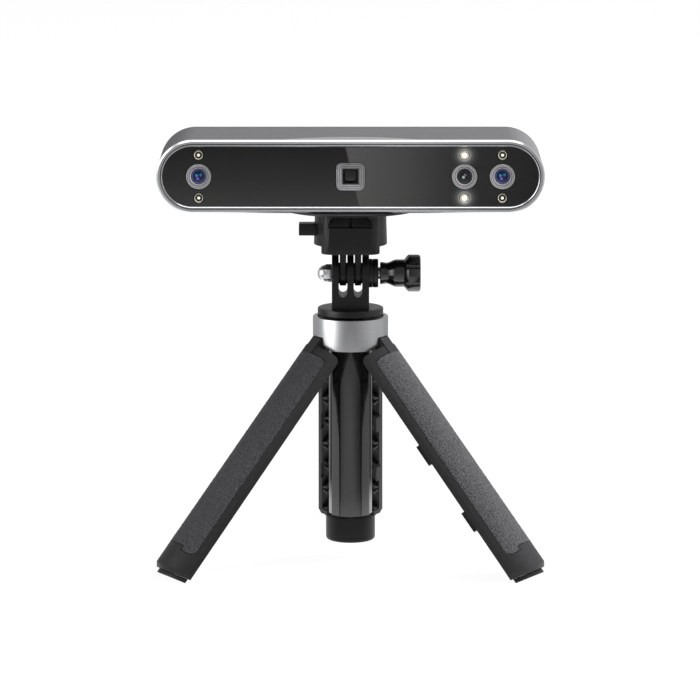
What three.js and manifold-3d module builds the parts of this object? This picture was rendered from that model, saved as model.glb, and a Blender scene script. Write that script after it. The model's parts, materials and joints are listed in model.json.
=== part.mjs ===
// A hand-held three-camera depth scanner on a folding mini tripod, in millimetres with +Z up.
// The stand's three legs fold, its column pulls out in two stages, and a pronged joint tilts the head.
// X runs along the scanner, -Y is its glass side, and the ground is at Z = 0.
import * as THREE from "three";
import { mergeVertices } from "three/addons/utils/BufferGeometryUtils.js";
import Module from "manifold-3d";

const wasm = await Module();
wasm.setup();

// Turns and counts
const halfTurn = Math.PI;
const quarterTurn = Math.PI / 2;
const degree = Math.PI / 180;
const legCount = 3;
const tubeSides = 12;
const roundSides = 36;
const smallSides = 16;
const boreSides = 12;
const tinySides = 10;
const arcSteps = 6;
const legSteps = 4;
const smallSteps = 3;
const tinySteps = 2;
const ventSteps = 1;

// Clearances shared by all pieces
const seatGap = 0.3;
const slideGap = 0.25;
const restGap = 0.05;
const overrun = 1;
const weldGap = 0.0001;

// Scanner head
const headWidth = 153;
const headHeight = 29;
const headDepth = 45;
const headWall = 1.8;
const bezelDepth = 2.2;
const bezelChamfer = 0.7;
const bezelGrooveInset = 1.3;
const bezelGrooveWidth = 0.4;
const bezelGrooveDepth = 0.35;
const bezelEndRim = 0.4;
const bezelSideRim = 0.75;
const glassThickness = 1.1;
const glassInset = 0.45;
const ledgeClear = 0.2;
const crescentRadius = 46;
const crescentReach = 11;
const crescentDepth = 0.4;
const coverDepth = 2.1;
const coverChamfer = 0.6;
const coverLip = 2.4;

// Cameras, projector and lamps behind the glass
const cameraInset = 16.7;
const colourCameraPitch = 14.9;
const hoodRadius = 5.2;
const hoodRingWidth = 0.65;
const hoodStepRadius = 3.6;
const hoodStepDepth = 0.35;
const hoodBackRadius = 4.1;
const lensRadius = 2.9;
const lensRecess = 1;
const lensCrown = 0.5;
const lensLength = 5;
const projectorWidth = 11.5;
const projectorHeight = 11.2;
const projectorCorner = 2.4;
const projectorRim = 0.9;
const projectorStep = 1.5;
const projectorStepDepth = 0.4;
const projectorWellDepth = 1.6;
const projectorCornerShare = 0.5;
const projectorLensRadius = 2.7;
const lampRadius = 2.05;
const lampCoreRadius = 1.25;
const lampRimDepth = 0.3;
const lampDomeHeight = 0.25;
const lampStemRadius = 1.5;
const opticsInset = 0.1;

// Bracket, board and socket inside the head
const bracketSetback = 8.5;
const bracketThickness = 1.5;
const bracketGrip = 4;
const bracketRim = 1.6;
const boardInset = 17.5;
const boardHeight = 20;
const boardThickness = 1.6;
const boardPostLength = 7;
const boardPostRadius = 2.2;
const boardPostInset = 7;
const boardPostRise = 7;
const chipSize = 14;
const chipHeight = 2.2;
const chipSpread = 60;
const socketWidth = 8.94;
const socketHeight = 3.26;
const socketShell = 0.32;
const socketMouth = 6.2;
const socketTongue = 0.7;
const socketTongueWidth = 6.7;
const socketInset = 19;
const socketRecess = 0.4;

// Back of the head
const buttonRadius = 3;
const buttonProud = 0.5;
const buttonFlange = 0.9;
const buttonFlangeThickness = 0.8;
const buttonPitch = 11;
const buttonTravel = 0.6;
const switchSize = 5;
const lightPipeRadius = 0.9;
const ventCount = 6;
const ventPitch = 3.2;
const ventWidth = 1.2;
const ventHeight = 12;
const ventInset = 11;

// Quarter-inch mounting thread, screw and quick-release plate
const threadRadius = 3.1;
const threadGap = 0.2;
const insertRadius = 4.6;
const insertHeight = 7;
const insertBossWall = 2;
const plateRadius = 27.5;
const plateThickness = 1;
const padRadius = 24;
const padThickness = 0.4;
const screwHeadRadius = 5.2;
const screwHeadHeight = 2.4;
const screwSlotWidth = 1.2;
const screwSlotDepth = 1.1;
const footDepth = 22.4;
const footSplitWidth = 1.2;
const footSplitReach = 6;

// Clamp under the plate
const clampWidth = 23.3;
const clampDepth = 23.3;
const clampCorner = 4;
const clampHeight = 16.8;
const clampTopGap = 0.4;
const wingTopRadius = 14.2;
const wingBottomRadius = 14.65;
const wingRise = 3;
const channelDepth = 6.1;
const channelFloorHalf = 8.9;
const channelMouthHalf = 7;
const channelLipHeight = 2.6;
const channelLipSlope = 1;
const releaseWidth = 8.4;
const releaseHeight = 4.5;
const releaseDrop = 5.6;
const releaseOut = 20.6;
const releaseInner = 12.8;
const releaseTravel = 2.3;
const stemWidth = 5.2;
const stemHeight = 2.6;
const stemDrop = 6.7;
const stemEnd = 8.2;
const springPostRadius = 0.6;
const springRadius = 1.2;
const springLength = 5;
const springClear = 0.15;

// Pronged tilt joint
const pivotRise = 13.7;
const stemRise = 9;
const prongHalfWidth = 7.45;
const prongRadius = 7.4;
const fingerSpread = 6;
const fingerSlot = 3.4;
const slotFloorDrop = 8.7;
const fingerRadius = 5;
const fingerThickness = 2.2;
const fingerBossRadius = 4.2;
const fingerBossThickness = 3;
const boltRadius = 2.4;
const boltGap = 0.35;
const bossRadius = 5.75;
const bossEnd = 11.1;
const nutRadius = 3.7;
const nutReach = 5.75;
const nutDome = 3.2;
const nutWall = 1.6;
const nutSides = 6;
const nutCrownShare = 0.9;
const nutDomeShares = [[1, 0.1], [0.87, 0.5], [0.5, 0.87]];
const knobStart = 11.8;
const knobEnd = 28;
const knobNeckRadius = 4.5;
const knobWaistRadius = 4.3;
const knobWaistAt = 2.8;
const knobFlareRadius = 5.5;
const knobFlareAt = 6.8;
const knobHeadAt = 9.8;
const knobHeadRadius = 7.4;
const knobHeadSlope = 1.6;
const knobEndChamfer = 0.9;
const knobGroove = 1.1;
const knobLobes = 6;
const knobBore = 9;

// Platform, collar and hub
const platformRadius = 13.15;
const platformThickness = 2.9;
const platformChamfer = 0.4;
const platformGap = 0.4;
const spigotRadius = 4.6;
const spigotLength = 9;
const collarRadius = 15.1;
const collarWall = 1.8;
const collarRise = 8.9;
const collarChamfer = 0.5;
const collarSkirt = 1.5;
const tabDrop = 3.66;
const tabSlopeStart = 1.72;
const tabNotchAngle = 13.2 * degree;
const tabFootAngle = 27.4 * degree;
const hubRise = 8;

// Legs
const splayAngle = 39.6 * degree;
const hingeRadius = 10;
const hingePinRadius = 1;
const hingePinLength = 13.6;
const hingePinGap = 0.2;
const legRadius = 15;
const legInnerRadius = 10.3;
const legSideGap = 0.2;
const legWall = 2;
const legLength = 114.7;
const legFlareShare = 0.045;
const legShoulder = 6;
const legTopWall = 3.5;
const legEndWall = 4;
const legEndTilt = 14 * degree;
const legEndRadius = 8.9;
const legEndChamfer = 1;
const legEndChamferLength = 2.5;
const legCorner = 2.2;
const knuckleHalfWidth = 3.1;
const knuckleRadius = 2.4;
const knuckleDepth = 3.6;
const stopGap = 0.3;
const ribPitch = 14;
const ribThickness = 1.2;
const ribHeight = 1.8;
const gripTop = 9.5;
const gripEndInset = 10.2;
const gripTongueStep = 2;
const gripHalfAngle = 42.7 * degree;
const gripTongueAngle = 19.2 * degree;
const gripDepth = 0.9;
const gripCorner = 2.6;
const gripGap = 0.15;
const tabProud = 1.3;
const tabRadialInset = 1.1;
const tabRadialWidth = 2.2;
const upperTabRise = 58.1;
const upperTabLength = 9;
const lowerTabRise = 26.1;
const lowerTabLength = 8.9;
const footProud = 1.9;
const footRecess = 0.6;
const footInset = 1;
const footRim = 2.2;
const footFlat = 0.8;
const shellLift = 0.45;
const footPegRadius = 1.3;
const footPegLength = 2.5;

// Column
const outerTubeRadius = 8.67;
const outerTubeBore = 7.6;
const midTubeRadius = 7.3;
const midTubeBore = 6.25;
const innerTubeRadius = 5.95;
const innerTubeBore = 4.95;
const capRadius = 9.9;
const capTop = 72.2;
const capHeight = 10.3;
const capFloor = 2.2;
const capEdge = 1.4;
const capGrip = 6;
const tubeTop = 2.6;
const midTubeClear = 4.3;
const innerTubeStep = 2;
const midTubeRise = 7.6;
const bushHeight = 2;
const headPinRadius = 1;
const headPinDrop = 5;

// Sizes worked out from the ones above
const frontY = -headDepth / 2;
const backY = headDepth / 2;
const bezelBack = frontY + bezelDepth;
const coverFront = backY - coverDepth;
const glassFront = frontY + glassInset;
const glassBack = glassFront + glassThickness;
const opticsFront = glassFront + opticsInset;
const bracketFront = frontY + bracketSetback;
const bracketBack = bracketFront + bracketThickness;
const boardBack = coverFront - boardPostLength;
const boardFront = boardBack - boardThickness;
const bezelBand = bezelGrooveInset + bezelGrooveWidth + slideGap;
const glassWidth = headWidth - 2 * (bezelBand + bezelEndRim);
const glassHeight = headHeight - 2 * (bezelBand + bezelSideRim);
const lampRise = (glassHeight / 2 + hoodRadius) / 2;
const ledgeWidth = glassHeight / 2 - lampRise - lampStemRadius - ledgeClear;
const cameraX = headWidth / 2 - cameraInset;
const cameraPlaces = [
  { name: "left_camera", x: -cameraX },
  { name: "colour_camera", x: cameraX - colourCameraPitch },
  { name: "right_camera", x: cameraX },
];
const boardWidth = headWidth - 2 * boardInset;
const boardPostSpread = boardWidth - 2 * boardPostInset;
const socketX = socketInset - boardWidth / 2;
const ventX = boardWidth / 2 - ventInset;
const buttonPlaces = [
  { name: "minus_button", x: -buttonPitch },
  { name: "scan_button", x: 0 },
  { name: "plus_button", x: buttonPitch },
];
const lightPipeX = 2 * buttonPitch;
const clampTop = stemRise + clampHeight;
const plateBottom = clampTop + clampTopGap;
const plateTop = plateBottom + plateThickness;
const headCentre = plateTop + restGap + headHeight / 2;
const channelFloor = clampTop - channelDepth;
const buttonFlangeBack = coverFront - slideGap;
const buttonFlangeFront = buttonFlangeBack - buttonFlangeThickness;
const gripEnd = legLength - gripEndInset;
const gripTongueEnd = gripEnd - gripTongueStep;
const legFootEnd = legLength + footProud;
const tabPlaces = [
  tabPlace(upperTabRise, upperTabLength),
  tabPlace(lowerTabRise, lowerTabLength),
];
const capBottom = capTop + capHeight;
const midTubeFoot = capBottom - capFloor - midTubeClear;
const innerTubeFoot = midTubeFoot - innerTubeStep;
const footInnerRadius = legEndRadius + footRecess;
const footInnerDepth = footInnerRadius * Math.cos(legSideAngle(footInnerRadius, legSideGap + footInset));
const footInnerEnd = legFootEnd - (legRadius - footInnerDepth) * Math.tan(legEndTilt);
const footInnerY = hingeRadius - footInnerDepth * (1 + (legFlareShare * footInnerEnd) / legLength);
const footLowest = footInnerEnd * Math.cos(splayAngle) + footInnerY * Math.sin(splayAngle);
const hingeHeight = footLowest - footFlat;
const platformBottom = collarRise + platformGap;
const platformTop = platformBottom + platformThickness;
const pivotHeight = platformTop + pivotRise;

// The angle from a leg's middle to its side plane at a radius; the plane lies in from a third of a turn.
function legSideAngle(radius, inset) {
  return halfTurn / legCount - Math.asin(inset / radius);
}

// The ends of a pair of tab and slot, down from the hinge, from its rise over the leg's end.
function tabPlace(rise, length) {
  const to = legLength - rise;
  return { from: to - length, to };
}

// Shapes and solids

// A closed geometry as a solid that can be joined and cut.
function solidOf(shape) {
  if (!shape.isBufferGeometry) return shape;
  const bare = shape.clone();
  bare.deleteAttribute("normal");
  bare.deleteAttribute("uv");
  const merged = mergeVertices(bare, weldGap);
  const vertProperties = merged.attributes.position.array;
  const triVerts = new Uint32Array(merged.index.array);
  return new wasm.Manifold(new wasm.Mesh({ numProp: 3, vertProperties, triVerts }));
}

function geometryOf(solid) {
  const mesh = solid.getMesh();
  const geometry = new THREE.BufferGeometry();
  geometry.setAttribute("position", new THREE.BufferAttribute(mesh.vertProperties, 3));
  geometry.setIndex(new THREE.BufferAttribute(mesh.triVerts, 1));
  return geometry;
}

function joined(...shapes) {
  return shapes.map(solidOf).reduce((whole, part) => whole.add(part));
}

function cut(shape, ...tools) {
  return tools.map(solidOf).reduce((rest, tool) => rest.subtract(tool), solidOf(shape));
}

function common(first, second) {
  return solidOf(first).intersect(solidOf(second));
}

// A block between two corners.
function block(x0, x1, y0, y1, z0, z1) {
  const geometry = new THREE.BoxGeometry(x1 - x0, y1 - y0, z1 - z0);
  return geometry.translate((x0 + x1) / 2, (y0 + y1) / 2, (z0 + z1) / 2);
}

// An outline in X and Y that runs up from one height to another.
function alongZ(outline, low, high, steps = arcSteps) {
  const options = { depth: high - low, bevelEnabled: false, curveSegments: steps };
  return new THREE.ExtrudeGeometry(outline, options).translate(0, 0, low);
}

// An outline in X and Z that runs back from one Y to another.
function alongY(outline, front, back, steps = arcSteps) {
  return alongZ(outline, -back, -front, steps).rotateX(quarterTurn);
}

// An outline in Y and Z that runs from one X to another.
function alongX(outline, left, right, steps = arcSteps) {
  return alongZ(outline, left, right, steps).rotateX(quarterTurn).rotateZ(quarterTurn);
}

// A profile of radius and height turned about an axis; the profile may be given either way round.
function turned(profile, sides, axis) {
  const points = profile.map(([radius, height]) => new THREE.Vector2(radius, height));
  if (THREE.ShapeUtils.area(points) < 0) points.reverse();
  const closed = points[0].x > 0 ? [...points, points[0]] : points;
  const geometry = new THREE.LatheGeometry(closed, sides);
  if (axis === "z") geometry.rotateX(quarterTurn);
  if (axis === "x") geometry.rotateZ(-quarterTurn);
  return geometry;
}

function rod(radius, low, high, sides, axis) {
  return turned([[0, low], [radius, low], [radius, high], [0, high]], sides, axis);
}

function ring(bore, radius, low, high, sides, axis) {
  return turned([[bore, low], [radius, low], [radius, high], [bore, high]], sides, axis);
}

// A rectangle with round corners about the origin.
function roundedRectangle(width, height, corner) {
  const x = width / 2 - corner;
  const y = height / 2 - corner;
  const outline = new THREE.Shape();
  outline.absarc(x, y, corner, 0, quarterTurn);
  outline.absarc(-x, y, corner, quarterTurn, halfTurn);
  outline.absarc(-x, -y, corner, halfTurn, halfTurn + quarterTurn);
  outline.absarc(x, -y, corner, -quarterTurn, 0);
  outline.closePath();
  return outline;
}

// A rectangle with half-round ends.
function stadium(width, height) {
  const radius = height / 2;
  const x = width / 2 - radius;
  const outline = new THREE.Shape();
  outline.absarc(x, 0, radius, -quarterTurn, quarterTurn);
  outline.absarc(-x, 0, radius, quarterTurn, halfTurn + quarterTurn);
  outline.closePath();
  return outline;
}

function polygon(points) {
  return new THREE.Shape(points.map(([x, y]) => new THREE.Vector2(x, y)));
}

// An outline run back along Y with its front and back edges chamfered.
function chamferedAlongY(outline, front, back, chamfer) {
  const options = {
    depth: back - front - 2 * chamfer,
    bevelEnabled: true,
    bevelThickness: chamfer,
    bevelSize: chamfer,
    bevelOffset: -chamfer,
    bevelSegments: 1,
    curveSegments: arcSteps,
  };
  const geometry = new THREE.ExtrudeGeometry(outline, options);
  return geometry.translate(0, 0, chamfer - back).rotateX(quarterTurn);
}

// Materials

function finish(color, roughness, metalness) {
  return () => new THREE.MeshStandardMaterial({ color, roughness, metalness, flatShading: true });
}

const greyAluminium = finish(0x85868a, 0.5, 0.85);
const brightAluminium = finish(0xd9dadc, 0.25, 1);
const satinSilver = finish(0xb9bbbe, 0.35, 1);
const chrome = finish(0xe2e3e5, 0.08, 1);
const brass = finish(0xb59a55, 0.35, 1);
const springSteel = finish(0xa9abad, 0.3, 1);
const blackGlass = finish(0x1b1c1e, 0.08, 0);
const lensGlass = finish(0x101a3c, 0.03, 0);
const lampEmitter = finish(0xe8dfb8, 0.25, 0);
const hoodPlastic = finish(0x6a6a6c, 0.35, 0);
const mattePlastic = finish(0x222324, 0.6, 0);
const glossPlastic = finish(0x0f0f10, 0.18, 0);
const legPlastic = finish(0x353638, 0.5, 0);
const gripRubber = finish(0x3d3e40, 0.85, 0);
const footRubber = finish(0x161617, 0.75, 0);
const boardGreen = finish(0x1e4a34, 0.55, 0);
const tubeGloss = finish(0x1d1d1f, 0.15, 0.3);

function piece(name, shape, material) {
  const mesh = new THREE.Mesh(geometryOf(solidOf(shape)), material());
  mesh.name = name;
  return mesh;
}

// Scanner head, about the middle of its height on the tilt joint's centre line

function headOutline(inset) {
  return stadium(headWidth - 2 * inset, headHeight - 2 * inset);
}

function crescent() {
  const top = headHeight / 2;
  const inner = crescentRadius - crescentReach;
  const profile = [
    [0, top - crescentDepth],
    [inner, top - crescentDepth],
    [crescentRadius, top],
    [crescentRadius, top + overrun],
    [0, top + overrun],
  ];
  return turned(profile, roundSides, "z").translate(0, frontY - inner, 0);
}

function housing() {
  const floor = -headHeight / 2;
  const bossTop = floor + insertHeight + headWall;
  const tubeShape = cut(
    alongY(headOutline(0), bezelBack, coverFront),
    alongY(headOutline(headWall), bezelBack - overrun, coverFront + overrun),
  );
  return piece(
    "scanner_housing",
    cut(
      joined(tubeShape, rod(insertRadius + insertBossWall, floor + headWall / 2, bossTop, smallSides, "z")),
      rod(insertRadius + slideGap, floor - overrun, floor + insertHeight + slideGap, smallSides, "z"),
      crescent(),
    ),
    greyAluminium,
  );
}

function bezel() {
  const groove = cut(
    alongY(headOutline(bezelGrooveInset), frontY - overrun, frontY + bezelGrooveDepth),
    alongY(headOutline(bezelGrooveInset + bezelGrooveWidth), frontY - overrun - overrun, frontY + overrun),
  );
  const opening = stadium(glassWidth + 2 * slideGap, glassHeight + 2 * slideGap);
  const window = stadium(glassWidth - 2 * ledgeWidth, glassHeight - 2 * ledgeWidth);
  const front = block(-headWidth, headWidth, frontY - overrun, bezelBack, -headHeight, headHeight);
  return piece(
    "front_bezel",
    cut(
      common(chamferedAlongY(headOutline(0), frontY, bezelBack + bezelDepth, bezelChamfer), front),
      alongY(opening, frontY - overrun, glassBack + restGap),
      alongY(window, frontY - overrun, bezelBack + overrun),
      groove,
    ),
    brightAluminium,
  );
}

function projectorOutline(inset) {
  const corner = Math.max(projectorCorner - inset, projectorCorner * projectorCornerShare);
  return roundedRectangle(projectorWidth - 2 * inset, projectorHeight - 2 * inset, corner);
}

function lampPlaces() {
  return cameraPlaces.flatMap(({ name, x }) => [
    { name: `${name}_lamp_upper`, x, z: lampRise },
    { name: `${name}_lamp_lower`, x, z: -lampRise },
  ]);
}

function glass() {
  const front = glassFront - overrun;
  const back = glassBack + overrun;
  const cameraHole = rod(hoodRadius, front, back, smallSides, "y");
  const lampHole = rod(lampRadius, front, back, tinySides, "y");
  return piece(
    "front_glass",
    cut(
      alongY(stadium(glassWidth, glassHeight), glassFront, glassBack),
      ...cameraPlaces.map(({ x }) => cameraHole.clone().translate(x, 0, 0)),
      ...lampPlaces().map(({ x, z }) => lampHole.clone().translate(x, 0, z)),
      alongY(projectorOutline(0), front, back, tinySteps),
    ),
    blackGlass,
  );
}

function cameraBarrel({ name, x }) {
  const rim = hoodRadius - slideGap;
  const bore = lensRadius + 2 * restGap;
  const profile = [
    [bore, bracketFront + bracketThickness],
    [hoodBackRadius - slideGap, bracketFront + bracketThickness],
    [hoodBackRadius - slideGap, bracketFront - restGap],
    [rim, bracketFront - restGap],
    [rim, opticsFront],
    [rim - hoodRingWidth, opticsFront],
    [rim - hoodRingWidth - hoodStepDepth, opticsFront + hoodStepDepth],
    [hoodStepRadius, opticsFront + hoodStepDepth],
    [bore, opticsFront + lensRecess],
  ];
  return piece(`${name}_barrel`, turned(profile, smallSides, "y").translate(x, 0, 0), hoodPlastic);
}

function domedProfile(radius, front, crown, back) {
  const sag = crown / 2;
  return [
    [0, back],
    [radius, back],
    [radius, front + crown],
    [radius * Math.SQRT1_2, front + sag],
    [0, front],
  ];
}

function cameraLens({ name, x }) {
  const front = opticsFront + lensRecess - lensCrown;
  const profile = domedProfile(lensRadius, front, lensCrown, front + lensLength);
  return piece(`${name}_lens`, turned(profile, smallSides, "y").translate(x, 0, 0), lensGlass);
}

function projectorHood() {
  const stepBack = opticsFront + projectorStepDepth;
  const wellBack = stepBack + projectorWellDepth;
  const well = projectorOutline(projectorRim + projectorStep + slideGap);
  return piece(
    "projector_hood",
    cut(
      alongY(projectorOutline(slideGap), opticsFront, bracketFront - restGap, tinySteps),
      alongY(projectorOutline(projectorRim + slideGap), opticsFront - overrun, stepBack, tinySteps),
      alongY(well, opticsFront - overrun, wellBack, tinySteps),
      rod(projectorLensRadius + slideGap, wellBack - overrun, bracketFront + overrun, smallSides, "y"),
    ),
    hoodPlastic,
  );
}

function projectorLens() {
  const front = opticsFront + projectorStepDepth + projectorWellDepth;
  const profile = domedProfile(projectorLensRadius, front, lensCrown, bracketFront - restGap);
  return piece("projector_lens", turned(profile, smallSides, "y"), lensGlass);
}

function lamp({ name, x, z }) {
  const rim = lampRadius - slideGap;
  const recess = opticsFront + lampRimDepth;
  const profile = [
    [0, bracketFront - restGap],
    [lampStemRadius, bracketFront - restGap],
    [lampStemRadius, glassBack - restGap],
    [rim, glassBack - restGap],
    [rim, opticsFront],
    [lampCoreRadius + slideGap, opticsFront],
    [lampCoreRadius, recess],
    [0, recess - lampDomeHeight],
  ];
  return piece(name, turned(profile, tinySides, "y").translate(x, 0, z), lampEmitter);
}

// The bracket fills the housing from side to side and holds every barrel by its neck.
function bracket() {
  const inset = headWall + slideGap;
  const rimBack = bracketBack + bracketGrip;
  const necks = cameraPlaces.map(({ x }) =>
    rod(hoodBackRadius, bracketFront - overrun, bracketBack + overrun, smallSides, "y").translate(x, 0, 0),
  );
  return piece(
    "optics_bracket",
    cut(
      alongY(headOutline(inset), bracketFront, rimBack),
      alongY(headOutline(inset + bracketRim), bracketBack, rimBack + overrun),
      insertClearance(),
      ...necks,
    ),
    mattePlastic,
  );
}

// Room for the thread boss that stands on the housing's floor.
function insertClearance() {
  const radius = insertRadius + insertBossWall + seatGap;
  const floor = -headHeight / 2;
  return rod(radius, floor - overrun, floor + insertHeight + headWall + seatGap, smallSides, "z");
}

// A square block standing on the board about the head's centre line.
function onBoard(size, front, back) {
  return block(-size / 2, size / 2, front, back, -size / 2, size / 2);
}

// The board carries three chips on its front and a key switch behind each button.
function mainBoard() {
  const chip = onBoard(chipSize, boardFront - chipHeight, boardFront + restGap);
  const keySwitch = onBoard(switchSize, boardBack - restGap, buttonFlangeFront - buttonTravel - restGap);
  return piece(
    "main_board",
    joined(
      block(-boardWidth / 2, boardWidth / 2, boardFront, boardBack, -boardHeight / 2, boardHeight / 2),
      ...[-chipSpread / 2, 0, chipSpread / 2].map((x) => chip.clone().translate(x, 0, 0)),
      ...buttonPlaces.map(({ x }) => keySwitch.clone().translate(x, 0, 0)),
    ),
    boardGreen,
  );
}

function usbSocket() {
  const mouthFront = backY - socketRecess - socketMouth;
  const outer = roundedRectangle(socketWidth, socketHeight, socketHeight / 2);
  const hollowHeight = socketHeight - 2 * socketShell;
  const hollow = roundedRectangle(socketWidth - 2 * socketShell, hollowHeight, hollowHeight / 2);
  const tongueBack = backY - socketRecess - overrun;
  const x = socketTongueWidth / 2;
  const z = socketTongue / 2;
  return piece(
    "usb_c_socket",
    joined(
      cut(
        alongY(outer, boardBack + restGap, backY - socketRecess, smallSteps),
        alongY(hollow, mouthFront, backY + overrun, smallSteps),
      ),
      block(-x, x, mouthFront - restGap, tongueBack, -z, z),
    ).translate(socketX, 0, 0),
    springSteel,
  );
}

function ventSlots() {
  const first = ventX - ((ventCount - 1) * ventPitch) / 2;
  const outline = roundedRectangle(ventWidth, ventHeight, ventWidth / 2);
  return Array.from({ length: ventCount }, (_, i) =>
    alongY(outline, coverFront - overrun, backY + overrun, ventSteps).translate(first + i * ventPitch, 0, 0),
  );
}

function boardPosts() {
  const x = boardPostSpread / 2;
  const corners = [[-x, -boardPostRise], [-x, boardPostRise], [x, -boardPostRise], [x, boardPostRise]];
  const post = rod(boardPostRadius, boardBack + restGap, coverFront + 2 * restGap, tinySides, "y");
  return corners.map(([px, pz]) => post.clone().translate(px, 0, pz));
}

function rearCover() {
  const inner = headWall + slideGap;
  const lip = cut(
    alongY(headOutline(inner), coverFront - coverLip, coverFront + 2 * restGap),
    alongY(headOutline(inner + headWall), coverFront - coverLip - overrun, coverFront + overrun),
  );
  const plate = common(
    chamferedAlongY(headOutline(0), coverFront - coverDepth, backY, coverChamfer),
    block(-headWidth, headWidth, coverFront + restGap, backY + overrun, -headHeight, headHeight),
  );
  const socketHole = roundedRectangle(
    socketWidth + 2 * slideGap,
    socketHeight + 2 * slideGap,
    socketHeight / 2 + slideGap,
  );
  const front = coverFront - overrun;
  const back = backY + overrun;
  const buttonHole = rod(buttonRadius + slideGap, front, back, smallSides, "y");
  return piece(
    "rear_cover",
    cut(
      joined(plate, lip, ...boardPosts()),
      alongY(socketHole, front, back, smallSteps).translate(socketX, 0, 0),
      ...buttonPlaces.map(({ x }) => buttonHole.clone().translate(x, 0, 0)),
      rod(lightPipeRadius + slideGap, front, back, tinySides, "y").translate(lightPipeX, 0, 0),
      ...ventSlots(),
    ),
    mattePlastic,
  );
}

function rearButton({ name, x }) {
  const top = backY + buttonProud;
  const edge = buttonProud / 2;
  const profile = [
    [0, buttonFlangeFront],
    [buttonRadius + buttonFlange, buttonFlangeFront],
    [buttonRadius + buttonFlange, buttonFlangeBack],
    [buttonRadius, buttonFlangeBack],
    [buttonRadius, top - edge],
    [buttonRadius - edge, top],
    [0, top - edge],
  ];
  return piece(name, turned(profile, smallSides, "y").translate(x, 0, 0), glossPlastic);
}

function lightPipe() {
  const shape = rod(lightPipeRadius, boardBack + seatGap, backY, tinySides, "y");
  return piece("status_light_pipe", shape.translate(lightPipeX, 0, 0), lampEmitter);
}

function threadInsert() {
  const floor = -headHeight / 2;
  const bore = threadRadius + threadGap;
  const shape = ring(bore, insertRadius, floor, floor + insertHeight, smallSides, "z");
  return piece("thread_insert", shape, brass);
}

function scannerHead() {
  const group = new THREE.Group();
  group.position.z = headCentre;
  group.add(housing(), bezel(), glass(), projectorHood(), projectorLens(), bracket());
  group.add(...cameraPlaces.map(cameraBarrel), ...cameraPlaces.map(cameraLens), ...lampPlaces().map(lamp));
  group.add(mainBoard(), usbSocket(), rearCover(), lightPipe(), threadInsert());
  group.add(...buttonPlaces.map(rearButton));
  return group;
}

// Quick-release plate and clamp, above the tilt joint's centre line

// The undercut channel's outline in X and Z, drawn in by a gap for the foot that slides in it.
function channelOutline(gap, top) {
  const floor = channelFloor + gap;
  const lip = channelFloor + channelLipHeight - gap;
  const mouth = lip + channelLipSlope;
  const wide = channelFloorHalf - gap;
  const narrow = channelMouthHalf - gap;
  return polygon([
    [-wide, floor],
    [wide, floor],
    [wide, lip],
    [narrow, mouth],
    [narrow, top],
    [-narrow, top],
    [-narrow, mouth],
    [-wide, lip],
  ]);
}

function mountPlate() {
  const footFront = -footDepth / 2;
  const halfSplit = footSplitWidth / 2;
  const splitBack = footFront + footSplitReach;
  const headTop = channelFloor + seatGap + screwHeadHeight + slideGap;
  return piece(
    "mount_plate",
    cut(
      joined(
        rod(plateRadius, plateBottom, plateTop, roundSides, "z"),
        alongY(channelOutline(seatGap, plateBottom + restGap), footFront, footDepth / 2),
      ),
      rod(padRadius + slideGap, plateTop - padThickness - restGap, plateTop + overrun, roundSides, "z"),
      rod(threadRadius + slideGap, channelFloor, plateTop + overrun, smallSides, "z"),
      rod(screwHeadRadius + slideGap, channelFloor - overrun, headTop, smallSides, "z"),
      block(-halfSplit, halfSplit, footFront - overrun, splitBack, channelFloor, plateBottom),
    ),
    mattePlastic,
  );
}

function mountPad() {
  const low = plateTop - padThickness;
  const shape = ring(threadRadius + slideGap, padRadius, low, plateTop, roundSides, "z");
  return piece("mount_pad", shape, footRubber);
}

function mountScrew() {
  const low = channelFloor + seatGap;
  const neck = low + screwHeadHeight;
  const top = plateTop + insertHeight - overrun;
  const profile = [
    [0, low],
    [screwHeadRadius, low],
    [screwHeadRadius, neck],
    [threadRadius, neck],
    [threadRadius, top],
    [0, top],
  ];
  const halfSlot = screwSlotWidth / 2;
  const reach = screwHeadRadius + overrun;
  const slot = block(-reach, reach, -halfSlot, halfSlot, low - overrun, low + screwSlotDepth);
  return piece(
    "mount_screw",
    cut(turned(profile, smallSides, "z"), slot),
    springSteel,
  );
}

// The body's outline seen from above, and the two side wings that swell out of it.
function clampCore() {
  const core = alongZ(roundedRectangle(clampWidth, clampDepth, clampCorner), stemRise, clampTop, smallSteps);
  const profile = [
    [0, stemRise + wingRise],
    [wingBottomRadius, stemRise + wingRise],
    [wingTopRadius, clampTop],
    [0, clampTop],
  ];
  const flats = block(-wingBottomRadius, wingBottomRadius, -clampDepth / 2, clampDepth / 2, 0, clampTop);
  return joined(core, common(turned(profile, roundSides, "z"), flats));
}

function fingerOutline(radius) {
  const outline = new THREE.Shape();
  outline.absarc(0, 0, radius, -halfTurn, 0);
  outline.lineTo(radius, stemRise + restGap);
  outline.lineTo(-radius, stemRise + restGap);
  outline.closePath();
  return outline;
}

function clampFinger(side) {
  const x = (side * fingerSpread) / 2;
  const halfStem = fingerThickness / 2;
  const halfBoss = fingerBossThickness / 2;
  return joined(
    alongX(fingerOutline(fingerRadius), x - halfStem, x + halfStem, legSteps),
    rod(fingerBossRadius, x - halfBoss, x + halfBoss, smallSides, "x"),
  );
}

function releasePocket() {
  const top = clampTop - releaseDrop + slideGap;
  const halfWidth = releaseWidth / 2 + slideGap;
  const stemTop = clampTop - stemDrop + slideGap;
  const stemHalf = stemWidth / 2 + slideGap;
  const headEnd = -releaseInner + releaseTravel + seatGap;
  const stemStop = -stemEnd + springLength + releaseTravel + seatGap + seatGap;
  return joined(
    block(-releaseOut, headEnd, -halfWidth, halfWidth, top - releaseHeight - 2 * slideGap, top),
    block(-releaseOut, stemStop, -stemHalf, stemHalf, stemTop - stemHeight - 2 * slideGap, stemTop),
  );
}

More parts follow.
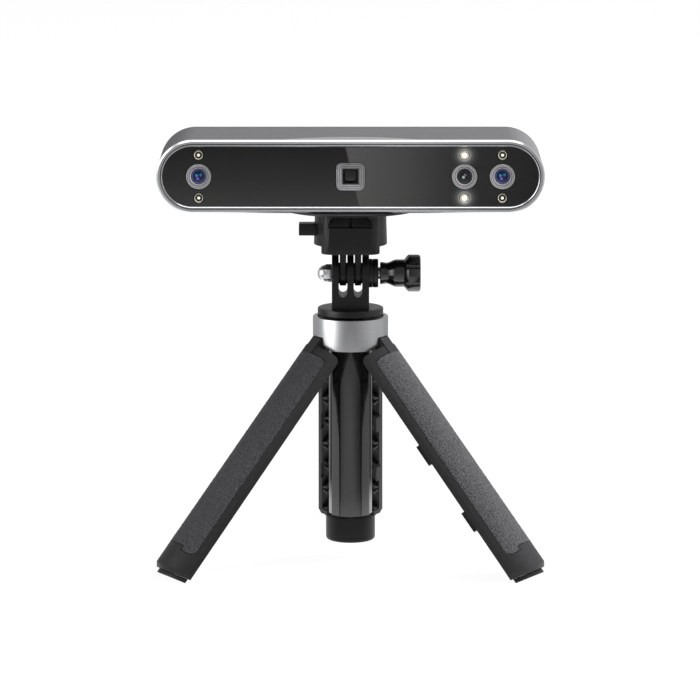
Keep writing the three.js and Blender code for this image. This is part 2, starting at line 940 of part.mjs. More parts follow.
function clampBody() {
  const reach = fingerSpread;
  return piece(
    "clamp_body",
    cut(
      joined(clampCore(), clampFinger(-1), clampFinger(1)),
      alongY(channelOutline(0, clampTop + overrun), -clampDepth, clampDepth),
      releasePocket(),
      rod(boltRadius + boltGap, -reach, reach, boreSides, "x"),
    ),
    mattePlastic,
  );
}

function releaseButton() {
  const top = clampTop - releaseDrop;
  const stemTop = clampTop - stemDrop;
  const post = rod(springPostRadius, -stemEnd - restGap, -stemEnd + springLength / 2, tinySides, "x");
  return piece(
    "release_button",
    joined(
      block(-releaseOut, -releaseInner, -releaseWidth / 2, releaseWidth / 2, top - releaseHeight, top),
      block(-releaseInner - restGap, -stemEnd, -stemWidth / 2, stemWidth / 2, stemTop - stemHeight, stemTop),
      post.translate(0, 0, stemTop - stemHeight / 2),
    ),
    mattePlastic,
  );
}

function releaseSpring() {
  const start = -stemEnd + restGap;
  const end = start + springLength;
  const height = clampTop - stemDrop - stemHeight / 2;
  const shape = ring(springPostRadius + springClear, springRadius, start, end, tinySides, "x");
  return piece("release_spring", shape.translate(0, 0, height), springSteel);
}

function headGroup() {
  const group = new THREE.Group();
  group.position.z = pivotHeight;
  group.add(mountPlate(), mountPad(), mountScrew(), clampBody(), releaseButton(), releaseSpring());
  group.add(scannerHead());
  return group;
}

// Tilt joint's lower half, bolt, nut and knob, heights from the hinge plane of the legs

function prongOutline() {
  const outline = new THREE.Shape();
  outline.moveTo(-prongRadius, platformTop - restGap);
  outline.lineTo(prongRadius, platformTop - restGap);
  outline.absarc(0, pivotHeight, prongRadius, 0, halfTurn);
  outline.closePath();
  return outline;
}

function fingerSlotOutline() {
  const radius = fingerSlot / 2;
  const floor = pivotHeight - slotFloorDrop + radius;
  const top = pivotHeight + prongRadius + overrun;
  const outline = new THREE.Shape();
  outline.absarc(0, floor, radius, -halfTurn, 0);
  outline.lineTo(radius, top);
  outline.lineTo(-radius, top);
  outline.closePath();
  return outline;
}

function platform() {
  const profile = [
    [0, platformBottom - spigotLength],
    [spigotRadius, platformBottom - spigotLength],
    [spigotRadius, platformBottom],
    [platformRadius - platformChamfer, platformBottom],
    [platformRadius, platformBottom + platformChamfer],
    [platformRadius, platformTop - platformChamfer],
    [platformRadius - platformChamfer, platformTop],
    [0, platformTop],
  ];
  return turned(profile, roundSides, "z");
}

function tiltBase() {
  const slot = alongY(fingerSlotOutline(), -prongRadius - overrun, prongRadius + overrun, smallSteps);
  const boss = rod(bossRadius, prongHalfWidth - restGap, bossEnd, smallSides, "x");
  const bore = rod(boltRadius + boltGap, -bossEnd - overrun, bossEnd + overrun, boreSides, "x");
  const pinReach = spigotRadius + overrun;
  const pinHole = rod(headPinRadius + slideGap, -pinReach, pinReach, tinySides, "x");
  return piece(
    "tilt_base",
    cut(
      joined(
        platform(),
        alongX(prongOutline(), -prongHalfWidth, prongHalfWidth, arcSteps),
        boss.translate(0, 0, pivotHeight),
      ),
      slot.clone().translate(-fingerSpread / 2, 0, 0),
      slot.clone().translate(fingerSpread / 2, 0, 0),
      bore.translate(0, 0, pivotHeight),
      pinHole.translate(0, 0, platformBottom - headPinDrop),
    ),
    mattePlastic,
  );
}

function headPin() {
  const reach = innerTubeRadius * Math.cos(halfTurn / tubeSides) - restGap;
  const shape = rod(headPinRadius, -reach, reach, tinySides, "x");
  return piece("head_pin", shape.translate(0, 0, platformBottom - headPinDrop), springSteel);
}

function acornNut() {
  const flat = prongHalfWidth + restGap;
  const end = prongHalfWidth + nutReach;
  const domeStart = end - nutDome;
  const dome = [
    [0, -domeStart + restGap],
    [nutRadius * nutCrownShare, -domeStart + restGap],
    ...nutDomeShares.map(([out, along]) => [nutRadius * nutCrownShare * out, -domeStart - nutDome * along]),
    [0, -end],
  ];
  return piece(
    "acorn_nut",
    cut(
      joined(rod(nutRadius, -domeStart, -flat, nutSides, "x"), turned(dome, smallSides, "x")),
      rod(boltRadius + slideGap, -end + nutWall, 0, boreSides, "x"),
    ).translate(0, 0, pivotHeight),
    chrome,
  );
}

function boltShaft() {
  const start = -prongHalfWidth - nutReach + nutWall + seatGap;
  const end = knobStart + knobBore - seatGap;
  const shape = rod(boltRadius, start, end, boreSides, "x");
  return piece("thumbscrew_shaft", shape.translate(0, 0, pivotHeight), springSteel);
}

function knob() {
  const head = knobStart + knobHeadAt;
  const profile = [
    [0, knobStart],
    [knobNeckRadius, knobStart],
    [knobWaistRadius, knobStart + knobWaistAt],
    [knobFlareRadius, knobStart + knobFlareAt],
    [knobFlareRadius, head],
    [knobHeadRadius, head + knobHeadSlope],
    [knobHeadRadius, knobEnd - knobEndChamfer],
    [knobHeadRadius - knobEndChamfer, knobEnd],
    [0, knobEnd],
  ];
  const groove = rod(knobGroove, head, knobEnd + overrun, tinySides, "x").translate(0, -knobHeadRadius, 0);
  const turn = (2 * halfTurn) / knobLobes;
  const grooves = Array.from({ length: knobLobes }, (_, i) => groove.clone().rotateX((i + 1 / 2) * turn));
  return piece(
    "thumbscrew_knob",
    cut(
      turned(profile, roundSides, "x"),
      ...grooves,
      rod(boltRadius + slideGap, knobStart - overrun, knobStart + knobBore, boreSides, "x"),
    ).translate(0, 0, pivotHeight),
    glossPlastic,
  );
}

// Collar and hub, heights from the hinge plane

// The gap between two of the collar's tabs, cut through the wall from the front.
function collarNotch() {
  const width = collarRadius * Math.sin(tabNotchAngle);
  const footWidth = collarRadius * Math.sin(halfTurn / legCount - tabFootAngle);
  const outline = polygon([
    [-width, collarSkirt],
    [-width, -tabSlopeStart],
    [-footWidth, -tabDrop],
    [-footWidth, -tabDrop - overrun],
    [footWidth, -tabDrop - overrun],
    [footWidth, -tabDrop],
    [width, -tabSlopeStart],
    [width, collarSkirt],
  ]);
  return alongY(outline, -collarRadius - overrun, 0);
}

function atEachLeg(make) {
  return legPlaces.map(({ turn }) => make().rotateZ(turn));
}

function collar() {
  const inner = collarRadius - collarWall;
  const profile = [
    [inner, -tabDrop],
    [collarRadius, -tabDrop],
    [collarRadius, collarRise - collarChamfer],
    [collarRadius - collarChamfer, collarRise],
    [inner, collarRise],
  ];
  return piece("collar", cut(turned(profile, roundSides, "z"), ...atEachLeg(collarNotch)), satinSilver);
}

// Room for a leg's knuckle, round its hinge and out through the wall below it.
function knuckleRoom() {
  const width = knuckleHalfWidth + stopGap;
  const reach = collarRadius + overrun;
  const inner = hingeRadius - knuckleRadius - seatGap;
  const room = joined(
    rod(knuckleRadius + stopGap, -width, width, boreSides, "x").translate(0, -hingeRadius, 0),
    block(-width, width, -reach, -inner, -tabDrop - overrun, 0),
    block(-width, width, -reach, -hingeRadius, -overrun, collarSkirt),
  );
  return geometryOf(room);
}

function hub() {
  const outer = collarRadius - collarWall - slideGap;
  const pinHalf = hingePinLength / 2 + restGap;
  const socketRadius = outerTubeRadius + slideGap;
  return piece(
    "collar_hub",
    cut(
      rod(outer, -tabDrop, hubRise, smallSides, "z"),
      rod(midTubeRadius + seatGap, -tabDrop - overrun, hubRise + overrun, tubeSides, "z"),
      rod(socketRadius, -tabDrop - overrun, tubeTop + slideGap, tubeSides, "z"),
      ...atEachLeg(knuckleRoom),
      ...atEachLeg(() => hingeBore(pinHalf)),
    ),
    mattePlastic,
  );
}

function hingeBore(reach) {
  const radius = hingePinRadius + hingePinGap;
  return rod(radius, -reach, reach, tinySides, "x").translate(0, -hingeRadius, 0);
}

// Legs, each drawn folded against the column with its hinge on the X axis and its outer side to the front

const legPlaces = [
  { name: "left_leg", turn: -halfTurn / legCount },
  { name: "right_leg", turn: halfTurn / legCount },
  { name: "rear_leg", turn: halfTurn },
];

// A slice of a ring about the column's axis, inset from the planes that part it from its neighbours.
function legSlice(outer, inner, inset) {
  const outerAngle = legSideAngle(outer, inset);
  const innerAngle = legSideAngle(inner, inset);
  const outline = new THREE.Shape();
  outline.absarc(0, hingeRadius, outer, -quarterTurn - outerAngle, -quarterTurn + outerAngle);
  outline.absarc(0, hingeRadius, inner, -quarterTurn + innerAngle, -quarterTurn - innerAngle, true);
  outline.closePath();
  return outline;
}

function gripBand(outer, inner) {
  const outline = new THREE.Shape();
  const half = halfTurn / legCount;
  outline.absarc(0, hingeRadius, outer, -quarterTurn - half, -quarterTurn + half);
  outline.absarc(0, hingeRadius, inner, -quarterTurn + half, -quarterTurn - half, true);
  outline.closePath();
  return outline;
}

// The grip's face seen from outside: round corners and a step in its lower edge.
function gripFace(gap) {
  const x = legRadius * Math.sin(gripHalfAngle) + gap;
  const tongue = legRadius * Math.sin(gripTongueAngle) - gap;
  const top = -gripTop + gap;
  const low = -gripEnd - gap;
  const step = -gripTongueEnd - gap;
  const corner = gripCorner + gap;
  const outline = new THREE.Shape();
  outline.moveTo(-tongue, step);
  outline.lineTo(-tongue, low);
  outline.absarc(-x + corner, low + corner, corner, -quarterTurn, -halfTurn, true);
  outline.absarc(-x + corner, top - corner, corner, halfTurn, quarterTurn, true);
  outline.absarc(x - corner, top - corner, corner, quarterTurn, 0, true);
  outline.absarc(x - corner, low + corner, corner, 0, -quarterTurn, true);
  outline.lineTo(tongue, low);
  outline.lineTo(tongue, step);
  outline.closePath();
  return alongY(outline, -legRadius, hingeRadius - legInnerRadius, smallSteps);
}

// Crossed ribs on the inside of a leg's channel.
function legRibs() {
  const top = -legShoulder - legTopWall;
  const length = legLength - legEndWall + top;
  const cells = Math.floor(length / ribPitch);
  const pitch = length / cells;
  const across = 2 * legRadius * Math.sin(halfTurn / legCount);
  const slope = Math.atan2(pitch, across);
  const run = Math.hypot(pitch, across);
  const front = hingeRadius - legRadius;
  const bars = [];
  for (let cell = 0; cell < cells; cell += 1) {
    for (const side of [-1, 1]) {
      const bar = block(-run / 2, run / 2, front, hingeRadius, -ribThickness / 2, ribThickness / 2);
      bars.push(bar.rotateY(side * slope).translate(0, 0, top - (cell + 1 / 2) * pitch));
    }
  }
  const wall = legRadius - legWall;
  const space = legSlice(wall + restGap, wall - ribHeight, legSideGap + legWall - restGap);
  return common(joined(...bars), alongZ(space, -legLength + legEndWall, top, smallSteps));
}

// The knuckle's side outline, round at the hinge, with a flat that stops under the collar on an open leg.
function knuckleOutline() {
  const flat = collarSkirt - stopGap;
  const along = Math.sqrt(knuckleRadius ** 2 - flat ** 2);
  const flatAngle = Math.atan2(flat, along) + splayAngle;
  const outerFace = hingeRadius - legRadius;
  const flatEnd = (-outerFace * Math.sin(splayAngle) - flat) / Math.cos(splayAngle);
  const low = -legShoulder - legTopWall;
  const innerFace = hingeRadius - legInnerRadius;
  const outline = new THREE.Shape();
  outline.moveTo(outerFace, -flatEnd);
  outline.lineTo(outerFace, low);
  outline.lineTo(innerFace, low);
  outline.lineTo(innerFace, -knuckleDepth);
  outline.absarc(0, 0, knuckleRadius, -quarterTurn / 2, halfTurn - flatAngle + 2 * splayAngle);
  outline.closePath();
  return outline;
}

function knuckle() {
  return alongX(knuckleOutline(), -knuckleHalfWidth, knuckleHalfWidth, legSteps);
}

// A block at one side plane of a leg, standing proud of it and reaching in to a depth.
function sideBlock(side, proud, depth, gap, { from, to }) {
  const innermost = legInnerRadius + tabRadialInset - gap;
  const outermost = innermost + tabRadialWidth + 2 * gap;
  const ends = [side * (proud - legSideGap), -side * (depth + legSideGap)].sort((a, b) => a - b);
  const shape = block(...ends, -outermost, -innermost, -to - gap, -from + gap);
  return shape.rotateZ((side * halfTurn) / legCount).translate(0, hingeRadius, 0);
}

// The leg's outline seen from outside, with its two upper corners rounded.
function legFace() {
  const x = legRadius * Math.sin(legSideAngle(legRadius, legSideGap));
  const outline = new THREE.Shape();
  outline.moveTo(-x - overrun, -legLength - overrun);
  outline.lineTo(x + overrun, -legLength - overrun);
  outline.lineTo(x + overrun, -legShoulder - legCorner);
  outline.lineTo(x, -legShoulder - legCorner);
  outline.absarc(x - legCorner, -legShoulder - legCorner, legCorner, 0, quarterTurn);
  outline.absarc(legCorner - x, -legShoulder - legCorner, legCorner, quarterTurn, halfTurn);
  outline.lineTo(-x - overrun, -legShoulder - legCorner);
  outline.closePath();
  return alongY(outline, -legRadius, hingeRadius, tinySteps);
}

// The curved wall, its two flanges, and the solid block at the end.
function legBody() {
  const end = -legLength;
  const top = -legShoulder - legTopWall;
  const whole = alongZ(legSlice(legRadius, legInnerRadius, legSideGap), end, -legShoulder, legSteps);
  const endBlock = alongZ(legSlice(legRadius, legEndRadius, legSideGap), end, end + legEndWall, legSteps);
  const channel = alongZ(
    legSlice(legRadius - legWall, legInnerRadius - overrun, legSideGap + legWall),
    end + legEndWall,
    top,
    smallSteps,
  );
  return joined(common(cut(whole, channel), legFace()), endBlock);
}

// The leg grows wider from its hinge to its foot, about the column's axis, and its end is cut aslant.
function flared(shape) {
  const geometry = geometryOf(solidOf(shape));
  const places = geometry.attributes.position;
  const slope = Math.tan(legEndTilt);
  const endBlockTop = -legLength + legEndWall + restGap;
  for (let i = 0; i < places.count; i += 1) {
    const depth = hingeRadius - places.getY(i);
    const rise = places.getZ(i) < endBlockTop ? (legRadius - depth) * slope : 0;
    const height = places.getZ(i) + rise;
    const scale = 1 - (legFlareShare * height) / legLength;
    places.setXYZ(i, places.getX(i) * scale, hingeRadius - depth * scale, height);
  }
  return geometry;
}

// Everything above a height over the ground, as it lies in the frame of an open leg.
function aboveGround(height) {
  const reach = 2 * legLength;
  return block(-reach, reach, -reach, reach, height - hingeHeight, reach).rotateX(splayAngle);
}

function gripRecess() {
  const band = gripBand(legRadius + overrun, legRadius - gripDepth - gripGap);
  return common(alongZ(band, -gripEnd - overrun, -gripTop + overrun, legSteps), gripFace(gripGap));
}

function footPegHole() {
  const end = -legLength;
  const hole = rod(footPegRadius + slideGap, end - overrun, end + footPegLength + slideGap, tinySides, "z");
  return hole.translate(0, footPegY(), 0);
}

// Tabs on one side of the leg enter slots in its neighbour when the legs are folded.
function legShell(name) {
  const slots = tabPlaces.map((place) => sideBlock(1, overrun, tabProud + seatGap, seatGap, place));
  const tabs = tabPlaces.map((place) => sideBlock(-1, tabProud, legWall / 2, 0, place));
  const shell = cut(
    joined(legBody(), legRibs(), knuckle(), ...tabs),
    gripRecess(),
    legEndBevel(),
    footPegHole(),
    hingeBore(hingePinLength).translate(0, hingeRadius, 0),
    ...slots,
  );
  return piece(`${name}_shell`, common(flared(shell), aboveGround(shellLift)), legPlastic);
}

function footPegY() {
  return hingeRadius - (legRadius + legEndRadius) / 2;
}

// The chamfer round the outer edge of a leg's lower end.
function legEndBevel() {
  const slope = legEndChamfer / legEndChamferLength;
  const profile = [
    [legRadius - legEndChamfer - overrun * slope, -legLength - overrun],
    [legRadius + overrun, -legLength - overrun],
    [legRadius + overrun, -legLength + legEndChamferLength + overrun / slope],
  ];
  return turned(profile, roundSides, "z").translate(0, hingeRadius, 0);
}

function legGrip(name) {
  const band = gripBand(legRadius, legRadius - gripDepth);
  const whole = alongZ(band, -gripEnd - overrun, -gripTop + overrun, legSteps);
  return piece(`${name}_grip`, flared(common(whole, gripFace(0))), gripRubber);
}

// The rubber foot, cut flat where it meets the ground with the leg open.
function legFoot(name) {
  const slice = legSlice(legRadius - footRim, footInnerRadius, legSideGap + footInset);
  const peg = rod(footPegRadius, -legLength - overrun, -legLength + footPegLength, tinySides, "z");
  const pad = alongZ(slice, -legFootEnd, -legLength - restGap, legSteps);
  const foot = flared(joined(pad, peg.translate(0, footPegY(), 0)));
  return piece(`${name}_foot`, common(foot, aboveGround(0)), footRubber);
}

function hingePin(name) {
  const half = hingePinLength / 2;
  return piece(`${name}_hinge_pin`, rod(hingePinRadius, -half, half, tinySides, "x"), springSteel);
}

function leg({ name, turn }) {
  const fold = new THREE.Group();
  fold.position.y = -hingeRadius;
  fold.rotation.x = -splayAngle;
  fold.add(legShell(name), legGrip(name), legFoot(name));
  const hinge = hingePin(name);
  hinge.position.y = -hingeRadius;
  const group = new THREE.Group();
  group.rotation.z = turn;
  group.add(fold, hinge);
  return group;
}

// Column tubes and their cap, heights from the hinge plane

function tube(name, bore, radius, low, high, cuts = []) {
  return piece(name, cut(ring(bore, radius, low, high, tubeSides, "z"), ...cuts), tubeGloss);
}

// The bush under a tube's foot, which guides it in the bore of the next one out.
function bush(name, bore, guideBore, foot) {
  const radius = guideBore - seatGap / 2;
  return piece(name, ring(bore, radius, -foot - bushHeight, -foot - restGap, tubeSides, "z"), footRubber);
}

function columnCap() {
  const profile = [
    [0, -capBottom],
    [capRadius - capEdge, -capBottom],
    [capRadius - capEdge + capEdge * Math.SQRT1_2, -capBottom + capEdge * (1 - Math.SQRT1_2)],
    [capRadius, -capBottom + capEdge],
    [capRadius, -capTop],
    [0, -capTop],
  ];
  const socket = rod(outerTubeRadius + slideGap, -capTop - capGrip, -capTop + overrun, tubeSides, "z");
  const well = rod(outerTubeBore, -capBottom + capFloor, -capTop, tubeSides, "z");
  return piece("column_cap", cut(turned(profile, roundSides, "z"), socket, well), mattePlastic);
}

function column() {
  const outerFoot = -capTop - capGrip + restGap;
  const innerTop = platformBottom - restGap;
  const pinHole = rod(headPinRadius + slideGap, -midTubeRadius, midTubeRadius, tinySides, "x");
  const pinHoles = [pinHole.translate(0, 0, platformBottom - headPinDrop)];
  const group = new THREE.Group();
  group.add(
    tube("column_outer_tube", outerTubeBore, outerTubeRadius, outerFoot, tubeTop, atEachLeg(knuckleRoom)),
    tube("column_mid_tube", midTubeBore, midTubeRadius, -midTubeFoot, midTubeRise),
    tube("column_inner_tube", innerTubeBore, innerTubeRadius, -innerTubeFoot, innerTop, pinHoles),
    bush("column_mid_bush", midTubeBore, outerTubeBore, midTubeFoot),
    bush("column_inner_bush", innerTubeBore, midTubeBore, innerTubeFoot),
    columnCap(),
  );
  return group;
}

// The whole object, standing on the ground with the middle of its outline at the origin

const stand = new THREE.Group();
stand.position.z = hingeHeight;
stand.add(collar(), hub(), ...legPlaces.map(leg), column());
stand.add(tiltBase(), headPin(), acornNut(), boltShaft(), knob(), headGroup());

const scanner = new THREE.Group();
scanner.add(stand);
scanner.updateMatrixWorld(true);
const outline = new THREE.Box3().setFromObject(scanner, true);
stand.position.x = -(outline.min.x + outline.max.x) / 2;
stand.position.y = -(outline.min.y + outline.max.y) / 2;

export default scanner;
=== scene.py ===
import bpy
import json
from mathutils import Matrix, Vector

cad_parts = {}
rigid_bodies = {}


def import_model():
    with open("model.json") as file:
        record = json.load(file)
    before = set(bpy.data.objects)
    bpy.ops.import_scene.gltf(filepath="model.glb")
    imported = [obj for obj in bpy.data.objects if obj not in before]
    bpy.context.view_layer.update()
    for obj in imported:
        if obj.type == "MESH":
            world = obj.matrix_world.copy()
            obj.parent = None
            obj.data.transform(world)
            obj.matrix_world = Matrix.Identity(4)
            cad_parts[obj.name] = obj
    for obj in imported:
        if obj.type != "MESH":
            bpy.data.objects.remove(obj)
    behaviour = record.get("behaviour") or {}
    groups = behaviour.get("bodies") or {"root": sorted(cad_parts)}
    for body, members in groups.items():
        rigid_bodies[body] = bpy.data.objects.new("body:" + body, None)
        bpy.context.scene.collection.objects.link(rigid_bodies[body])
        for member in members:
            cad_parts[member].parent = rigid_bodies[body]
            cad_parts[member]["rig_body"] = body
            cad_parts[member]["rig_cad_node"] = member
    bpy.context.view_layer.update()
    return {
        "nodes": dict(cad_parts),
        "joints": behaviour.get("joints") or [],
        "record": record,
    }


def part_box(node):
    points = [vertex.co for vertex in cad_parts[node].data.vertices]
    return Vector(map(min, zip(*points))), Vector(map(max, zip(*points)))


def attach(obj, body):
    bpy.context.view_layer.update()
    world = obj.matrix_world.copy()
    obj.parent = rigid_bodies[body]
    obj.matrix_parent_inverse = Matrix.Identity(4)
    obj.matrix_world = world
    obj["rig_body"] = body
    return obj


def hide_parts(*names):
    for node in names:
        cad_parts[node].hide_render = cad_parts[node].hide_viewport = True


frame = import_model()

import json
import math
from contextlib import contextmanager

import bmesh
import bpy
from bpy.props import FloatProperty, FloatVectorProperty, IntProperty, PointerProperty
from bpy.types import Operator, Panel, PropertyGroup
from mathutils import Matrix, Vector

bl_info = {
    "name": "Tripod depth scanner",
    "version": (1, 0, 0),
    "blender": (4, 5, 0),
    "location": "3D View > Sidebar > Scanner",
    "description": "Builds the finished surfaces of a depth scanner on a mini tripod",
    "category": "Object",
}

# Places read from the frame

MM = 0.001
TURN = 2 * math.pi
RECORD = frame["record"]
BODIES = {node: body for body, nodes in RECORD["behaviour"]["bodies"].items() for node in nodes}
SLOTS = {part["node"]: part["material_slot"] for part in RECORD["subparts"]}
JOINTS = {joint["name"]: joint for joint in frame["joints"]}
PIVOT = Vector(JOINTS["head_tilt"]["pos_m"])
COLUMN = Vector((PIVOT.x, PIVOT.y, JOINTS["rear_leg_fold"]["pos_m"][2]))
SPLAY = math.radians(JOINTS["rear_leg_fold"]["range_deg"][1])
LEG_TURNS = {"left_leg": -TURN / 6, "right_leg": TURN / 6, "rear_leg": TURN / 2}
END_TILT = math.radians(14)
POST = (PIVOT.x, PIVOT.y, 0)
CAMERAS = ("left_camera", "colour_camera", "right_camera")
KEYS = ("minus_button", "scan_button", "plus_button")
HEAD_LOW, HEAD_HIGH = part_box("scanner_housing")
HEAD_RADIUS = (HEAD_HIGH.z - HEAD_LOW.z) / 2
HEAD_SPREAD = (HEAD_HIGH.x - HEAD_LOW.x) / 2 - HEAD_RADIUS
HEAD_Z = (HEAD_HIGH.z + HEAD_LOW.z) / 2

# Small lengths that the pieces share

CLEAR = 0.25 * MM
OVERLAP = 0.05 * MM
BOLT_ROOM = 2.65 * MM
STEM_HALF_Y = 2.6 * MM
STEM_HALF_Z = 1.3 * MM
STEM_DROP = 8 * MM


def linear(level):
    """A display level from 0 to 255 as a linear share."""
    share = level / 255
    return share / 12.92 if share <= 0.04045 else ((share + 0.055) / 1.055) ** 2.4


def tone(*levels):
    """A colour from three display levels, or a grey from one."""
    return [linear(level) for level in (levels * 3)[:3]]


def length(name, description, millimetres):
    """A size property whose default is given in millimetres."""
    return FloatProperty(
        name=name, description=description, default=millimetres * MM, min=0, unit="LENGTH", precision=5
    )


def colour(name, description, *levels):
    """A colour property whose default is given in display levels."""
    return FloatVectorProperty(
        name=name, description=description, default=tone(*levels), size=3, min=0, max=1, subtype="COLOR"
    )


# Sizes and colours that a user can change

class ScannerHeadSizes(PropertyGroup):
    """Sizes of the scanner's head"""

    sides: IntProperty(name="Round sides", description="Sides of a round edge", default=128, min=16)
    edge: length("Edge break", "Width of a machined edge's break", 0.15)
    wall: length("Wall", "Thickness of the housing's wall", 1.8)
    chamfer: length("Bezel chamfer", "Width of the bezel's polished chamfer", 0.6)
    groove_inset: length("Groove inset", "Distance of the groove from the bezel's edge", 1.5)
    groove_width: length("Groove width", "Width of the bezel's groove", 0.35)
    groove_depth: length("Groove depth", "Depth of the bezel's groove", 0.35)
    ledge: length("Ledge", "Width of the ledge that the glass lies on", 1.6)
    fit: length("Fit", "Gap round a piece that drops into another", 0.25)
    crescent_radius: length("Crescent radius", "Radius of the bright facet on top", 46)
    crescent_reach: length("Crescent reach", "How far the bright facet runs back", 11)
    crescent_depth: length("Crescent depth", "Depth of the bright facet at its front", 0.2)
    cover_chamfer: length("Cover chamfer", "Width of the rear cover's chamfer", 0.6)
    insert_radius: length("Insert radius", "Radius of the threaded insert", 4.6)
    insert_height: length("Insert height", "Height of the threaded insert", 7)


class ScannerOpticsSizes(PropertyGroup):
    """Sizes of the cameras, the projector and the lamps"""

    hole: length("Camera hole", "Radius of a camera's hole in the glass", 5.2)
    lamp_hole: length("Lamp hole", "Radius of a lamp's hole in the glass", 2.05)
    lens: length("Lens radius", "Radius of a camera's front lens", 2.9)
    crown: length("Lens crown", "Height of a lens's dome", 0.5)
    recess: length("Lens recess", "Depth of a lens's edge behind the glass", 1)
    window: length("Projector window", "Half the width of the projector's window", 3.15)
    well: length("Projector well", "Depth of the projector's window", 1.5)
    corner: length("Projector corner", "Radius of the projector hood's corners", 2.15)


class ScannerClampSizes(PropertyGroup):
    """Sizes of the quick-release clamp and the tilt joint"""

    edge: length("Edge", "Radius of a moulded edge", 0.35)
    corner: length("Clamp corner", "Radius of the clamp's upright corners", 4)
    foot: length("Clamp foot", "Height of the clamp's underside over the pivot", 9)
    wing: length("Wing foot", "Height of the clamp's wings over the pivot", 12)
    channel: length("Channel depth", "Depth of the channel for the plate's foot", 6.1)
    channel_half: length("Channel half", "Half the width of the channel's floor", 8.9)
    mouth_half: length("Mouth half", "Half the width of the channel's mouth", 7)
    lip: length("Lip", "Height of the channel's lips over its floor", 2.6)
    lip_slope: length("Lip slope", "Height of the lips' slope", 1)
    finger: length("Finger", "Radius of the clamp's two fingers", 5)
    finger_half: length("Finger half", "Half the thickness of a finger", 1.3)
    finger_boss: length("Finger boss", "Radius of the boss on a finger", 4.2)
    finger_spread: length("Finger spread", "Distance between the fingers' middles", 6)
    slot_half: length("Slot half", "Half the width of a slot between the prongs", 1.7)
    slot_floor: length("Slot floor", "Depth of the slots' floor under the pivot", 8.7)
    bolt_hole: length("Bolt hole", "Radius of the hole for the bolt", 2.75)
    prong: length("Prong", "Radius of the prongs' round top", 7.4)
    prong_half: length("Prong half", "Half the width over the three prongs", 7.45)
    boss: length("Boss", "Radius of the boss beside the knob", 5.75)
    boss_end: length("Boss end", "Distance of the boss's end from the middle", 11.1)


class ScannerLegSizes(PropertyGroup):
    """Sizes of a leg, folded about the column's axis"""

    sides: IntProperty(name="Leg sides", description="Sides of a leg's full circle", default=168, min=24)
    hinge: length("Hinge radius", "Distance of a leg's hinge from the column's axis", 10)
    outer: length("Outer radius", "Radius of a leg's outer face", 15)
    inner: length("Inner radius", "Radius at the edge of a leg's flanges", 10.3)
    gap: length("Side gap", "Half the gap between two folded legs", 0.2)
    wall: length("Wall", "Thickness of a leg's wall", 1.6)
    length: length("Length", "Length of a leg from its hinge", 114.7)
    shoulder: length("Shoulder", "Distance of a leg's shoulder from its hinge", 6)
    top_wall: length("Top wall", "Thickness of the wall at the shoulder", 3.5)
    end_wall: length("End wall", "Thickness of the wall at the foot", 4)
    end_inner: length("End inner radius", "Inner radius of the wall at the foot", 8.9)
    corner: length("Corner", "Radius of the shoulder's corners", 2.7)
    edge: length("Edge", "Radius of a moulded edge", 0.25)
    end_run: length("End chamfer", "Width of the chamfer at the foot", 1.22)
    end_rise: length("End chamfer length", "Length of the chamfer at the foot", 3.2)
    foot_rim: length("Foot rim", "Distance of the rubber foot from the leg's outer face", 2.4)
    knuckle_half: length("Knuckle half", "Half the width of the hinge's knuckle", 3.1)
    knuckle: length("Knuckle", "Radius of the hinge's knuckle", 2.4)
    stop: length("Stop", "Height of the stop's flat over the hinge", 1.2)
    rib_pitch: length("Rib pitch", "Least length of a crossed pair of ribs", 14)
    rib_half: length("Rib half", "Half the thickness of a rib", 0.6)
    rib_height: length("Rib height", "Height of a rib", 2.2)
    grip_top: length("Grip top", "Distance of the grip's top from the hinge", 9.5)
    grip_end: length("Grip end", "Distance of the grip's end from the hinge", 104.5)
    grip_step: length("Grip step", "Length that the grip's middle falls short at its end", 2)
    grip_depth: length("Grip depth", "Thickness of the grip", 0.9)
    grip_corner: length("Grip corner", "Radius of the grip's corners", 2.6)
    grip_gap: length("Grip gap", "Groove round the grip", 0.22)
    voxel: length("Grip resolution", "Size of the steps that carry the grip's stipple", 0.24)
    stipple: length("Stipple", "Height of the grip's stipple", 0.3)
    stipple_size: length("Stipple size", "Size of one grain of the stipple", 0.55)
    foot_end: length("Foot end", "Distance of the rubber foot's end from the hinge", 116.6)
    lift: length("Shell lift", "Height of the shell's edge over the ground", 0.45)


class ScannerColours(PropertyGroup):
    """Colours of the finishes"""

    housing: colour("Housing", "Bead-blasted aluminium of the housing", 96, 96, 98)
    crescent: colour("Crescent", "Brushed facet on top of the housing", 150, 150, 152)
    bright: colour("Bezel", "Polished aluminium of the bezel", 226, 227, 229)
    satin: colour("Collar", "Satin silver of the collar", 196, 197, 199)
    chrome: colour("Chrome", "Plated nut", 232, 233, 235)
    brass: colour("Brass", "Threaded insert", 181, 154, 85)
    steel: colour("Steel", "Pins, shaft, screw and spring", 169, 171, 173)
    glass: colour("Front glass", "Black front glass", 22, 22, 23)
    lens: colour("Lens", "Coated lens", 14, 20, 60)
    # The lens rim colour is a painted reflection at the edge of the coating.
    lens_rim: colour("Lens rim", "Edge of a lens's coating", 96, 106, 170)
    lamp: colour("Lamp", "Ring round a lamp", 226, 219, 200)
    hood: colour("Hood", "Rings round the lenses", 118, 118, 119)
    matte: colour("Matte plastic", "Clamp, tilt base, cap and cover", 18, 18, 19)
    gloss: colour("Gloss plastic", "Knob and buttons", 12, 12, 13)
    leg: colour("Leg", "Leg shells", 39, 39, 40)
    grip: colour("Grip", "Rubber grips", 62, 62, 64)
    foot: colour("Foot", "Rubber feet and bushes", 20, 20, 21)
    board: colour("Board", "Circuit board", 30, 74, 52)
    tube: colour("Tube", "Column tubes", 26, 26, 27)


